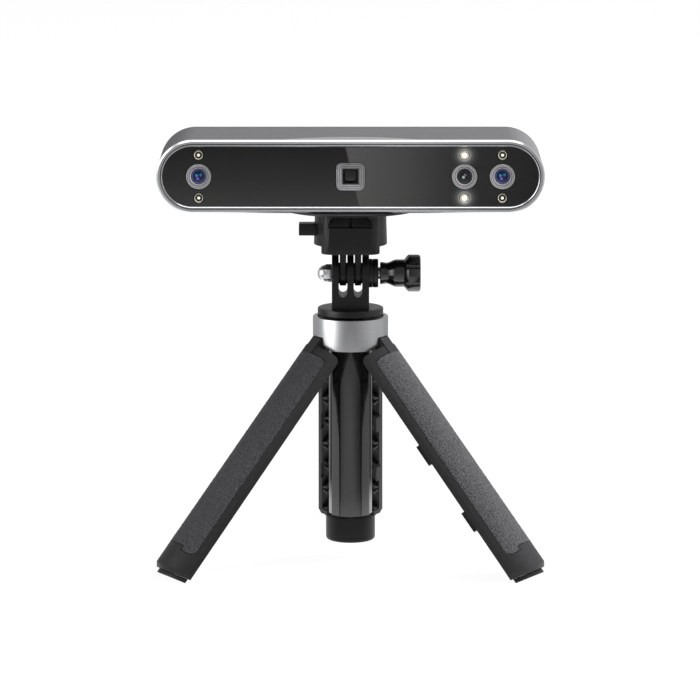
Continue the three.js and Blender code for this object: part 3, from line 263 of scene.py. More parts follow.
class ScannerStage(PropertyGroup):
    """Camera and light"""

    distance: FloatProperty(
        name="Distance", description="From the camera to its target", default=1.85, unit="LENGTH"
    )
    pitch: FloatProperty(
        name="Pitch", description="Camera's angle over level", default=math.radians(9.7), subtype="ANGLE"
    )
    lens: FloatProperty(name="Lens", description="Focal length in millimetres", default=237.31)
    shift: FloatProperty(name="Shift", description="Sideways shift of the view", default=-0.0007)
    target_drop: length("Target drop", "Depth of the camera's target under the hinges", 5.3)
    ambient: FloatProperty(name="Ambient", description="Level of the even light", default=0.15, min=0)
    key: FloatProperty(name="Left light", description="Watts of the left light", default=6, min=0)
    fill: FloatProperty(name="Right light", description="Watts of the right light", default=150, min=0)
    top: FloatProperty(name="Top light", description="Watts of the top light", default=15, min=0)


# Modelling steps

def deselect():
    """Leaves nothing selected."""
    bpy.ops.object.select_all(action="DESELECT")


def pick(*pieces):
    """Selects only these pieces, the first of them active."""
    deselect()
    for piece in pieces:
        piece.select_set(True)
    bpy.context.view_layer.objects.active = pieces[0]


@contextmanager
def editing(piece):
    """Edit mode on one piece, with all of it selected at first."""
    pick(piece)
    bpy.ops.object.mode_set(mode="EDIT")
    bpy.ops.mesh.select_mode(type="VERT")
    bpy.ops.mesh.select_all(action="SELECT")
    yield
    bpy.ops.object.mode_set(mode="OBJECT")


def choose(piece, kind, test):
    """Selects, in edit mode, the verts, edges or faces that pass a test."""
    bpy.ops.mesh.select_all(action="DESELECT")
    bpy.ops.mesh.select_mode(type={"verts": "VERT", "edges": "EDGE", "faces": "FACE"}[kind])
    shape = bmesh.from_edit_mesh(piece.data)
    for part in getattr(shape, kind):
        if test(part):
            part.select_set(True)
    bmesh.update_edit_mesh(piece.data)


def sharp(edge):
    """Whether an edge turns by more than 30 degrees."""
    return len(edge.link_faces) == 2 and edge.calc_face_angle() > math.radians(30)


def settle(piece):
    """Puts the piece's place and turn into its mesh."""
    pick(piece)
    bpy.ops.object.transform_apply(location=True, rotation=True, scale=True)
    return piece


def moved(piece, matrix):
    """Moves the piece by a matrix and puts its place into its mesh."""
    piece.matrix_world = matrix @ piece.matrix_world
    return settle(piece)


def outward(piece):
    """Turns all faces outwards."""
    with editing(piece):
        bpy.ops.mesh.normals_make_consistent(inside=False)
    return piece


def turned(profile, sides=64, axis="Z", place=(0, 0, 0), spread=0, ring=False, pulls=()):
    """Turns a profile of (radius, height) pairs about an axis.

    A ring's profile closes on itself, and others are filled at both ends. Each pull (radius, distance)
    moves what lies within that radius apart along X, and a spread moves both halves apart.
    """
    deselect()
    radius, height = profile[0]
    start = (0, 0, TURN / sides / 2)
    bpy.ops.mesh.primitive_circle_add(vertices=sides, radius=radius, location=(0, 0, height), rotation=start)
    piece = settle(bpy.context.object)
    with editing(piece):
        for (radius, height), (next_radius, next_height) in zip(profile, profile[1:]):
            rise = (0, 0, next_height - height)
            bpy.ops.mesh.extrude_region_move(TRANSFORM_OT_translate={"value": rise})
            growth = next_radius / radius
            bpy.ops.transform.resize(value=(growth, growth, 1), center_override=(0, 0, next_height))
        bpy.ops.mesh.select_all(action="DESELECT")
        bpy.ops.mesh.select_non_manifold()
        if ring:
            bpy.ops.mesh.bridge_edge_loops()
        else:
            bpy.ops.mesh.fill_holes(sides=0)
        for within, distance in (*pulls, (math.inf, spread)):
            pull_apart(piece, within, distance)
    turns = {"X": Matrix.Rotation(TURN / 4, 4, "Y"), "Y": Matrix.Rotation(-TURN / 4, 4, "X"), "Z": Matrix()}
    moved(piece, Matrix.Translation(place) @ turns[axis])
    return outward(piece)


def pull_apart(piece, within, distance):
    """Moves what lies inside a radius apart along X, in edit mode."""
    for side in (-1, 1) if distance else ():
        choose(piece, "verts", lambda vert: vert.co.x * side > 0 and vert.co.xy.length < within)
        bpy.ops.transform.translate(value=(side * distance, 0, 0))


def rod(radius, low, high, axis="Z", place=(0, 0, 0), sides=64):
    """A plain cylinder, for a cut or a join."""
    return turned([(radius, low), (radius, high)], sides, axis, place)


def block(low, high):
    """A box between two corners."""
    deselect()
    low, high = Vector(low), Vector(high)
    bpy.ops.mesh.primitive_cube_add(size=1, location=(low + high) / 2, scale=high - low)
    return settle(bpy.context.object)


def rounded(piece, axis, radius, segments=8):
    """Rounds the piece's edges that run along an axis."""
    along = Vector([float(name == axis) for name in "XYZ"])

    def runs_along(edge):
        way = (edge.verts[0].co - edge.verts[1].co).normalized()
        return abs(way.dot(along)) > 0.999

    with editing(piece):
        choose(piece, "edges", runs_along)
        bpy.ops.mesh.bevel(offset=radius, segments=segments, affect="EDGES")
    return piece


def arc(middle, reach, start, end, steps):
    """Points along an arc between two angles in turns, with a reach for each of its two axes."""
    angles = [TURN * (start + (end - start) * step / steps) for step in range(steps + 1)]
    return [
        (middle[0] + reach[0] * math.cos(angle), middle[1] + reach[1] * math.sin(angle)) for angle in angles
    ]


def mirrored(points):
    """An outline's right half and, on the way back, its left half."""
    return points + [(-x, z) for x, z in reversed(points)]


def outlined(points, axis, low, high):
    """A prism along X or Y whose outline's points are moved to their places one by one."""
    deselect()
    bpy.ops.mesh.primitive_circle_add(vertices=len(points), radius=MM, fill_type="NGON")
    piece = bpy.context.object
    with editing(piece):
        for index, (x, y) in enumerate(points):
            choose(piece, "verts", lambda vert: vert.index == index)
            place = Vector((x, y, low))
            shape = bmesh.from_edit_mesh(piece.data)
            shape.verts.ensure_lookup_table()
            bpy.ops.transform.translate(value=place - shape.verts[index].co)
        bpy.ops.mesh.select_all(action="SELECT")
        bpy.ops.mesh.extrude_region_move(TRANSFORM_OT_translate={"value": (0, 0, high - low)})
    turns = {
        "X": Matrix.Rotation(TURN / 4, 4, "Z") @ Matrix.Rotation(TURN / 4, 4, "X"),
        "Y": Matrix(((1, 0, 0, 0), (0, 0, 1, 0), (0, 1, 0, 0), (0, 0, 0, 1))),
    }
    return outward(moved(piece, turns[axis]))


def modified(piece, kind, **settings):
    """Adds a modifier with its settings and applies it."""
    pick(piece)
    bpy.ops.object.modifier_add(type=kind)
    modifier = piece.modifiers[-1]
    for name, value in settings.items():
        setattr(modifier, name, value)
    bpy.ops.object.modifier_apply(modifier=modifier.name)
    return piece


def combined(piece, tool, operation):
    """Joins, cuts or intersects the piece with a tool, which is used up."""
    modified(piece, "BOOLEAN", operation=operation, solver="MANIFOLD", object=tool)
    bpy.data.objects.remove(tool)
    return piece


def cut(piece, *tools):
    """Cuts each tool out of the piece."""
    for tool in tools:
        combined(piece, tool, "DIFFERENCE")
    return piece


def joined(piece, *others):
    """Joins the others to the piece as one body."""
    for other in others:
        combined(piece, other, "UNION")
    return piece


def common(piece, other):
    """Keeps what the piece shares with the other."""
    return combined(piece, other, "INTERSECT")


def part_off(piece, point, normal):
    """Cuts the piece at a plane and keeps what lies behind it, closed."""
    with editing(piece):
        bpy.ops.mesh.bisect(
            plane_co=point, plane_no=normal, use_fill=True, clear_outer=True, threshold=MM / 1000
        )
    return piece


def softened(piece, width, segments=2, angle=40):
    """Bevels the piece's sharp edges, best before it is cut or joined."""
    with editing(piece):
        bpy.ops.mesh.remove_doubles(threshold=MM / 200)
    return modified(piece, "BEVEL", width=width, segments=segments, angle_limit=math.radians(angle))


def copied(piece):
    """A copy of the piece with its own mesh."""
    pick(piece)
    bpy.ops.object.duplicate()
    return bpy.context.object


def node_copy(node):
    """A merged copy of a CAD node with its flat faces whole."""
    source = frame["nodes"][node]
    piece = source.copy()
    piece.data = source.data.copy()
    bpy.context.scene.collection.objects.link(piece)
    piece.parent = None
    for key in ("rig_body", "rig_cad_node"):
        del piece[key]
    with editing(piece):
        bpy.ops.mesh.remove_doubles(threshold=MM / 1000)
        bpy.ops.mesh.dissolve_limited(angle_limit=math.radians(0.5))
    return piece


def fitted(piece, node, finish=None, smooth=35):
    """Names a finished piece, gives it its finish and seats it on its body in place of its CAD node."""
    pick(piece)
    bpy.ops.object.shade_smooth_by_angle(angle=math.radians(smooth))
    piece.name = piece.data.name = f"{node}_surface"
    piece.data.materials.clear()
    piece.data.materials.append(finish or finish_of(SLOTS[node]))
    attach(piece, BODIES[node])
    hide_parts(node)
    return piece


def painted(piece, finish, test):
    """Gives a second finish to the faces that pass a test."""
    piece.data.materials.append(finish)
    for face in piece.data.polygons:
        if test(face):
            face.material_index = len(piece.data.materials) - 1


def centre_of(node):
    """The middle of a CAD node's box."""
    low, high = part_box(node)
    return (low + high) / 2


def axis_at(node):
    """Where a line along Y through a CAD node's middle starts."""
    centre = centre_of(node)
    return centre.x, 0, centre.z


def half_of(node, axis="x"):
    """Half a CAD node's size along an axis."""
    low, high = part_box(node)
    return (getattr(high, axis) - getattr(low, axis)) / 2


# Finishes

def node_of(tree, kind, inputs=None, **settings):
    """Adds a shader node; an input is a value or another node's output."""
    node = tree.nodes.new(kind)
    for name, value in settings.items():
        setattr(node, name, value)
    for name, value in (inputs or {}).items():
        if isinstance(value, bpy.types.NodeSocket):
            tree.links.new(value, node.inputs[name])
        else:
            node.inputs[name].default_value = value
    return node


def rgba(shade):
    """A shader's colour, from three channels or one level of grey."""
    return (*shade, 1) if hasattr(shade, "__len__") else (shade, shade, shade, 1)


def worked(tree, operation, *values):
    """The result of a math node."""
    return node_of(tree, "ShaderNodeMath", dict(enumerate(values)), operation=operation).outputs[0]


def mapped(tree, value, low=0, high=1, new_low=0, new_high=1):
    """A value brought from one range to another."""
    inputs = {"Value": value, "From Min": low, "From Max": high, "To Min": new_low, "To Max": new_high}
    return node_of(tree, "ShaderNodeMapRange", inputs).outputs["Result"]


def ramp_of(tree, value, *stops):
    """A colour that runs through stops of (place, colour) as a value grows."""
    node = node_of(tree, "ShaderNodeValToRGB", {"Fac": value})
    elements = node.color_ramp.elements
    elements.remove(elements[1])
    elements[0].position = stops[0][0]
    elements[0].color = rgba(stops[0][1])
    for place, shade in stops[1:]:
        elements.new(place).color = rgba(shade)
    return node.outputs["Color"]


def blended(tree, share, first, second):
    """A colour that runs from the first to the second."""
    node = node_of(tree, "ShaderNodeMix", data_type="RGBA")
    inputs = [node.inputs["Factor"]] + [socket for socket in node.inputs if socket.type == "RGBA"]
    for socket, value in zip(inputs, (share, first, second)):
        if isinstance(value, bpy.types.NodeSocket):
            tree.links.new(value, socket)
        else:
            socket.default_value = value
    return next(socket for socket in node.outputs if socket.type == "RGBA")


def distance_to(tree, spot):
    """How far a point lies from a spot, seen along Y."""
    place = node_of(tree, "ShaderNodeTexCoord").outputs["Object"]
    inputs = {"Vector": place, "Scale": (1, 0, 1), "Location": (-spot.x, 0, -spot.z)}
    flat = node_of(tree, "ShaderNodeMapping", inputs).outputs["Vector"]
    return node_of(tree, "ShaderNodeVectorMath", {0: flat}, operation="LENGTH").outputs["Value"]


def banded(tree, distance, reach, *stops):
    """A colour that changes with a distance; the stops lie at shares of a reach."""
    return ramp_of(tree, worked(tree, "MULTIPLY", distance, 1 / reach), *stops)


def shaded(shade, level):
    """A colour made lighter or darker."""
    return [min(1, channel * level) for channel in shade]


def shader_of(material):
    """A finish's shader."""
    return material.node_tree.nodes["Principled BSDF"]


def noise_of(tree, place, scale, detail):
    """A noise's level at a place."""
    inputs = {"Vector": place, "Scale": scale, "Detail": detail}
    return node_of(tree, "ShaderNodeTexNoise", inputs).outputs["Fac"]


def surface(
    name,
    shade,
    roughness,
    metallic=0,
    mottle=400,
    tint=0.1,
    spread=0.06,
    grain=3000,
    height=0.01,
    stretch=(1, 1, 1),
    shine=0.5,
    edge=0.2,
):
    """A finish with a mottled colour, uneven gloss and a fine raised grain of a height in millimetres."""
    material = bpy.data.materials.new(name)
    material.use_nodes = True
    tree = material.node_tree
    shader = shader_of(material)
    shader.inputs["Metallic"].default_value = metallic
    shader.inputs["Specular IOR Level"].default_value = shine
    place = node_of(tree, "ShaderNodeTexCoord").outputs["Object"]
    drawn = node_of(tree, "ShaderNodeMapping", {"Vector": place, "Scale": stretch}).outputs["Vector"]
    clouds = noise_of(tree, drawn, mottle, 5)
    grains = noise_of(tree, drawn, grain, 3)
    darker, lighter = shaded(shade, 1 - tint), shaded(shade, 1 + tint)
    base = ramp_of(tree, clouds, (0.5 - edge, darker), (0.5 + edge, lighter))
    gloss = mapped(tree, grains, new_low=roughness - spread, new_high=roughness + spread)
    bump = node_of(tree, "ShaderNodeBump", {"Height": grains, "Distance": height * MM, "Strength": 1})
    tree.links.new(base, shader.inputs["Base Color"])
    tree.links.new(gloss, shader.inputs["Roughness"])
    tree.links.new(bump.outputs["Normal"], shader.inputs["Normal"])
    return material


def lit(material, shade, strength):
    """Lets a finish give off light of its own."""
    shader_of(material).inputs["Emission Color"].default_value = (*shade, 1)
    shader_of(material).inputs["Emission Strength"].default_value = strength
    return material


def colours():
    """The colours that a user can change."""
    return bpy.context.scene.scanner_colours


def finish_of(slot, name=None):
    """The finish of a record slot, made once for each name."""
    name = name or f"{slot}_finish"
    shade, roughness, settings = FINISHES[slot]
    return bpy.data.materials.get(name) or surface(name, getattr(colours(), shade), roughness, **settings)


FINISHES = {
    "grey_aluminium": (
        "housing", 0.6, {"metallic": 0.05, "grain": 4200, "height": 0.012, "tint": 0.04, "shine": 0.1}
    ),
    "bright_aluminium": ("bright", 0.2, {"metallic": 1, "tint": 0.02, "spread": 0.02, "height": 0}),
    "satin_silver": (
        "satin", 0.3, {"metallic": 1, "mottle": 250, "tint": 0.03, "height": 0.002, "stretch": (1, 1, 6)}
    ),
    "chrome": ("chrome", 0.28, {"metallic": 1, "spread": 0.03, "height": 0.0005, "tint": 0.03}),
    "brass": ("brass", 0.3, {"metallic": 1, "height": 0.002}),
    "spring_steel": ("steel", 0.28, {"metallic": 1, "height": 0.002, "stretch": (0.2, 1, 1)}),
    "black_glass": ("glass", 0.012, {"spread": 0.004, "mottle": 60, "height": 0}),
    "lens_glass": ("lens", 0.04, {"spread": 0.01, "height": 0}),
    "lamp_emitter": ("lamp", 0.25, {"spread": 0.05, "height": 0.001}),
    "hood_plastic": ("hood", 0.38, {"metallic": 0.3, "tint": 0.08, "height": 0.002}),
    "matte_plastic": ("matte", 0.34, {"grain": 5200, "height": 0.004, "mottle": 120, "shine": 0.38}),
    "gloss_plastic": ("gloss", 0.14, {"spread": 0.03, "grain": 900, "height": 0.001, "shine": 1}),
    "leg_plastic": ("leg", 0.48, {"grain": 4600, "height": 0.009, "tint": 0.07, "shine": 0.22}),
    "grip_rubber": (
        "grip",
        0.55,
        {"grain": 1900, "height": 0.35, "tint": 0.5, "mottle": 1900, "edge": 0.1, "shine": 0.3},
    ),
    "foot_rubber": ("foot", 0.6, {"height": 0.01}),
    "board_green": ("board", 0.45, {"mottle": 700, "tint": 0.3, "height": 0.02}),
    "tube_gloss": (
        "tube",
        0.12,
        {"spread": 0.03, "grain": 1200, "height": 0.0006, "stretch": (1, 1, 0.1), "shine": 0.9},
    ),
}


# Scanner head

def long_round(profile, size, spread=HEAD_SPREAD, **shape):
    """Turns a profile about Y and pulls its halves apart to the head's width."""
    return turned(profile, size.sides, "Y", (0, 0, HEAD_Z), spread, **shape)


class SCANNER_OT_housing(Operator):
    """Models the grey housing, open at both ends, with its bright facet and thread boss"""

    bl_idname = "scanner.housing"
    bl_label = "Housing"

    def execute(self, context):
        size = context.scene.scanner_head
        radius, front, back = HEAD_RADIUS, HEAD_LOW.y, HEAD_HIGH.y
        profile = [
            (radius - size.wall, front),
            (radius - size.edge, front),
            (radius, front + size.edge),
            (radius, back - size.edge),
            (radius - size.edge, back),
            (radius - size.wall, back),
        ]
        piece = long_round(profile, size, ring=True)
        floor = HEAD_LOW.z
        insert_top = floor + size.insert_height
        boss = rod(size.insert_radius + 2 * MM, floor + size.wall / 2, insert_top + size.wall, place=POST)
        joined(piece, boss)
        bore = rod(size.insert_radius + size.fit, floor - MM, insert_top + size.fit, place=POST)
        cut(piece, bore, self.crescent(size))
        fitted(piece, "scanner_housing", smooth=20)
        facet = surface("crescent_facet", colours().crescent, 0.36, 0.5, stretch=(0.05, 1, 1), height=0.004)
        painted(
            piece,
            facet,
            lambda face: 0.99 < face.normal.z < 0.99995
            and face.center.z > HEAD_HIGH.z - size.wall / 2
            and abs(face.center.x) < size.crescent_radius,
        )
        return {"FINISHED"}

    def crescent(self, size):
        """The cone that takes the facet out of the top."""
        inner = size.crescent_radius - size.crescent_reach
        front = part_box("front_bezel")[0].y
        top = HEAD_HIGH.z
        profile = [
            (inner, top - size.crescent_depth),
            (size.crescent_radius, top),
            (size.crescent_radius, top + MM),
        ]
        return turned(profile, 256, place=(0, front - inner, 0))


class SCANNER_OT_bezel(Operator):
    """Models the bright bezel with its chamfer, groove and ledge"""

    bl_idname = "scanner.bezel"
    bl_label = "Bezel"

    def execute(self, context):
        size = context.scene.scanner_head
        front, back = (corner.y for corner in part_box("front_bezel"))
        glass_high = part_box("front_glass")[1]
        glass_radius = half_of("front_glass", "z")
        seat = glass_high.y + OVERLAP
        lip = 0.16 * MM
        opening = glass_radius + size.fit
        groove = HEAD_RADIUS - size.groove_inset
        groove_end = groove - size.groove_width
        profile = [
            (HEAD_RADIUS, back),
            (HEAD_RADIUS, front + size.chamfer),
            (HEAD_RADIUS - size.chamfer, front),
            (groove, front),
            (groove, front + size.groove_depth),
            (groove_end, front + size.groove_depth),
            (groove_end, front),
            (opening + lip, front),
            (opening, front + lip),
            (opening, seat),
            (glass_radius - size.ledge, seat),
            (glass_radius - size.ledge, back),
        ]
        glass_spread = glass_high.x - glass_radius
        pulls = [((opening + groove_end) / 2, glass_spread - HEAD_SPREAD)]
        piece = long_round(profile, size, ring=True, pulls=pulls)
        fitted(piece, "front_bezel", smooth=12)
        # Painted shade: the groove's faces are darkened where shade falls in it.
        painted_shade = surface("bezel_groove", tone(30), 0.5, shine=0.2)
        shade_depth = front + size.groove_depth + 0.01 * MM
        slack = 0.02 * MM
        painted(
            piece,
            painted_shade,
            lambda face: front < face.center.y < shade_depth
            and groove_end - slack < self.reach(face.center) < groove + slack,
        )
        return {"FINISHED"}

    def reach(self, place):
        """Distance of a place from the line along the head's middle."""
        return math.hypot(max(0, abs(place.x) - HEAD_SPREAD), place.z - HEAD_Z)


class SCANNER_OT_glass(Operator):
    """Models the black front glass with its holes"""

    bl_idname = "scanner.glass"
    bl_label = "Front glass"

    def execute(self, context):
        size, optics = context.scene.scanner_head, context.scene.scanner_optics
        low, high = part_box("front_glass")
        radius = half_of("front_glass", "z")
        profile = [(radius - size.edge, low.y), (radius, low.y + size.edge), (radius, high.y)]
        piece = long_round(profile, size, high.x - radius)
        for camera in CAMERAS:
            cut(piece, self.hole(f"{camera}_barrel", optics.hole))
            cut(piece, *(self.hole(f"{camera}_lamp_{end}", optics.lamp_hole) for end in ("upper", "lower")))
        cut(piece, self.window(size, optics))
        fitted(piece, "front_glass", finish=self.glowing(optics), smooth=20)
        return {"FINISHED"}

    def glowing(self, optics):
        """Black glass that glows a little round the two lit lamps."""
        material = finish_of("black_glass", "glowing_glass")
        tree = material.node_tree
        stops = ((0.3, 0.42), (0.4, 0.16), (0.5, 0.06), (0.7, 0.015), (0.95, 0))
        halos = []
        for end in ("upper", "lower"):
            distance = distance_to(tree, centre_of(f"colour_camera_lamp_{end}"))
            halo = banded(tree, distance, 3 * optics.lamp_hole, *stops)
            halos.append(node_of(tree, "ShaderNodeRGBToBW", {"Color": halo}).outputs["Val"])
        tree.links.new(worked(tree, "ADD", *halos), shader_of(material).inputs["Emission Strength"])
        return material

    def hole(self, node, radius):
        """What a round hole in front of a node takes away."""
        low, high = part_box("front_glass")
        return rod(radius, low.y - MM, high.y + MM, "Y", axis_at(node), 48)

    def window(self, size, optics):
        """What the projector's opening takes away."""
        near, far = (corner.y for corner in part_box("front_glass"))
        low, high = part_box("projector_hood")
        gap = size.fit
        piece = block((low.x - gap, near - MM, low.z - gap), (high.x + gap, far + MM, high.z + gap))
        return rounded(piece, "Y", optics.corner + gap)


class SCANNER_OT_cameras(Operator):
    """Models the three cameras' ringed barrels and domed lenses"""

    bl_idname = "scanner.cameras"
    bl_label = "Cameras"

    def execute(self, context):
        optics = context.scene.scanner_optics
        for camera in CAMERAS:
            self.barrel(f"{camera}_barrel", optics)
            self.lens(f"{camera}_lens", optics, camera == "colour_camera")
        return {"FINISHED"}

    def barrel(self, node, optics):
        """A barrel with stepped rings round its lens."""
        low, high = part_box(node)
        rim = half_of(node)
        bore = optics.lens + 0.1 * MM
        neck = rim - 1.1 * MM
        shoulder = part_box("optics_bracket")[0].y - OVERLAP
        steps = [(0.06, 0), (0.5, 0), (0.6, 0.14), (1.0, 0.14), (1.1, 0.3), (1.45, 0.3), (1.6, 0.55)]
        profile = [
            (bore, high.y),
            (neck, high.y),
            (neck, shoulder),
            (rim, shoulder),
            (rim, low.y + 0.06 * MM),
            *((rim - inset * MM, low.y + depth * MM) for inset, depth in steps),
            (bore, low.y + optics.recess),
        ]
        piece = turned(profile, 96, "Y", axis_at(node), ring=True)
        softened(piece, 0.035 * MM, 2, 30)
        # The barrel's rings take painted highlights: paler lines at some radii.
        rings = ringed(f"{node}_rings", centre_of(node), rim, ((3.35, 3.4), (4.15, 2.8), (4.75, 3)))
        fitted(piece, node, finish=rings, smooth=25)

    def lens(self, node, optics, colour_camera):
        """A domed lens with its coating and painted reflections."""
        finish = lens_with_painted_glints(node, centre_of(node), half_of(node), colour_camera)
        fitted(domed(node, optics.crown), node, finish=finish)


def domed(node, crown):
    """A lens in a CAD node's box, with a shallow dome in front."""
    low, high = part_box(node)
    radius, rings = half_of(node), 8
    shares = [max(0.02, ring / rings) for ring in range(rings + 1)]
    curve = [(radius * share, low.y + crown * share**2) for share in shares]
    return turned([*curve, (radius, high.y)], 64, "Y", axis_at(node))


def lens_with_painted_glints(name, centre, radius, colour_camera):
    """A coated lens with painted reflections: dark in the middle, with painted glints in the coating's
    colours and a paler rim that is a painted reflection.
    """
    shade, rim = colours().lens, colours().lens_rim
    if colour_camera:
        shade, rim = tone(22), tone(66, 68, 72)
    material = surface(name, shade, 0.04, spread=0.01, height=0)
    tree = material.node_tree
    shader = shader_of(material)
    # Painted reflection: rings from a darker middle out to a paler rim, as the coating mirrors what is round
    # it.
    base = banded(
        tree,
        distance_to(tree, centre),
        radius,
        (0.0, shaded(shade, 0.5)),
        (0.5, shade),
        (0.78, shaded(shade, 0.6)),
        (0.88, rim),
        (0.97, shaded(rim, 0.5)),
    )
    # Painted glints: soft spots in the coating's colours where inner lens elements would reflect.
    painted_glints = [
        (-0.28, 0.12, (0.02, 0.42, 0.75)),
        (-0.12, -0.3, (0.32, 0.1, 0.9)),
        (0.28, 0.22, (0.02, 0.2, 0.34)),
    ]
    if colour_camera:
        painted_glints = [(-0.14, -0.1, (0.55, 0.72, 0.64)), (0.1, 0.22, (0.14, 0.16, 0.16))]
    # Each tint here is the colour of a painted glint.
    for offset_x, offset_z, tint in painted_glints:
        spot = centre + radius * Vector((offset_x, 0, offset_z))
        share = banded(tree, distance_to(tree, spot), radius, (0.08, 1), (0.24, 0))
        base = blended(tree, share, base, (*tint, 1))
    tree.links.new(base, shader.inputs["Base Color"])
    return material


def ringed(name, centre, radius, highlight_lines):
    """The rings round a lens: a plain shade with painted highlights, paler lines at some radii, each set
    between darker bands of painted shade.
    """
    shade = colours().hood
    material = surface(name, shade, 0.38, 0.3, height=0.001)
    tree = material.node_tree
    stops = [(0, shaded(shade, 0.7))]
    # Each line is a painted highlight, with painted shade just inside and outside it.
    for line, level in highlight_lines:
        share = line * MM / radius
        stops += [(share - 0.05, shaded(shade, 0.45)), (share - 0.022, shaded(shade, level))]
        stops += [(share + 0.022, shaded(shade, level)), (share + 0.05, shaded(shade, 0.6))]
    base = banded(tree, distance_to(tree, centre), radius, *stops)
    tree.links.new(base, shader_of(material).inputs["Base Color"])
    return material


class SCANNER_OT_lamps(Operator):
    """Models the six lamps, the pair at the colour camera lit"""

    bl_idname = "scanner.lamps"
    bl_label = "Lamps"

    def execute(self, context):
        ring = surface("lamp_ring", colours().lamp, 0.3, 0.2, height=0.001)
        cup = surface("lamp_cup", tone(40, 36, 28), 0.3, 0.4, height=0.001)
        for camera in CAMERAS:
            for end in ("upper", "lower"):
                self.lamp(f"{camera}_lamp_{end}", ring, cup, camera == "colour_camera")
        return {"FINISHED"}

    def lamp(self, node, ring, cup, shining):
        """A lamp's ring, cup and core; the lit one's core is wide, and every core gives off light, the unlit
        ones' faintly as a painted highlight.
        """
        low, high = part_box(node)
        rim = half_of(node)
        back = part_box("front_glass")[1].y - OVERLAP
        core = rim * (0.82 if shining else 0.34)
        body = rim - 0.3 * MM
        profile = [
            (core * 0.1, low.y + 0.04 * MM),
            (core * 0.6, low.y + 0.08 * MM),
            (core, low.y + 0.2 * MM),
            (core + 0.05 * MM, low.y + 0.34 * MM),
            (body, low.y + 0.3 * MM),
            (rim - 0.12 * MM, low.y + 0.05 * MM),
            (rim - 0.05 * MM, low.y),
            (rim, low.y + 0.06 * MM),
            (rim, back),
            (body, back),
            (body, high.y),
        ]
        centre = centre_of(node)
        piece = turned(profile, 48, "Y", axis_at(node))
        # The unlit lamps' cores glow faintly too: a painted highlight on their domes, though they are not
        # lit.
        strength = 2.5 if shining else 0.35
        emitter = surface(f"{node}_core", tone(238, 236, 222), 0.25, height=0.001)
        fitted(piece, node, finish=lit(emitter, (1, 1, 0.97), strength), smooth=30)

        def reach(face):
            return math.hypot(face.center.x - centre.x, face.center.z - centre.z)

        painted(piece, cup, lambda face: reach(face) > core)
        width, depth = 0.62 * MM, 0.6 * MM
        painted(piece, ring, lambda face: reach(face) > rim - width or face.center.y > low.y + depth)


class SCANNER_OT_projector(Operator):
    """Models the projector's stepped hood and its lens"""

    bl_idname = "scanner.projector"
    bl_label = "Projector"

    def execute(self, context):
        optics = context.scene.scanner_optics
        low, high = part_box("projector_hood")
        piece = rounded(block(low, high), "Y", optics.corner)
        steps, drop = 3, 0.22 * MM
        inset = (half_of("projector_hood") - optics.window) / steps
        with editing(piece):
            choose(piece, "faces", lambda face: face.normal.y < -0.99)
            for _ in range(steps):
                bpy.ops.mesh.inset(thickness=inset * 0.3, depth=-drop)
                bpy.ops.mesh.inset(thickness=inset * 0.7, depth=0)
            bpy.ops.mesh.extrude_region_move(TRANSFORM_OT_translate={"value": (0, optics.well, 0)})
        centre = axis_at("projector_lens")
        bore = half_of("projector_lens") + CLEAR
        cut(piece, rod(bore, low.y + MM, high.y + MM, "Y", centre, 48))
        fitted(piece, "projector_hood", smooth=12)
        # Painted highlight: the hood's sloped steps take a lighter copy of the hood's colour, as if they
        # caught the light.
        slope = surface("hood_slope", shaded(colours().hood, 2.3), 0.3, 0.2, height=0.001)
        painted(
            piece,
            slope,
            lambda face: -0.95 < face.normal.y < -0.2 and face.center.y < low.y + optics.well,
        )
        # Painted shade: the deep faces of the window's well are darkened where shade falls in it.
        well = surface("hood_well", tone(34), 0.4, shine=0.3)
        wide, shade_depth = optics.window + MM / 10, low.y + 0.8 * MM
        painted(piece, well, lambda face: face.center.y > shade_depth and abs(face.center.x - centre[0]) < wide)
        glass = surface("projector_glass", tone(40), 0.06, spread=0.02, height=0)
        fitted(domed("projector_lens", optics.crown), "projector_lens", finish=glass)
        return {"FINISHED"}


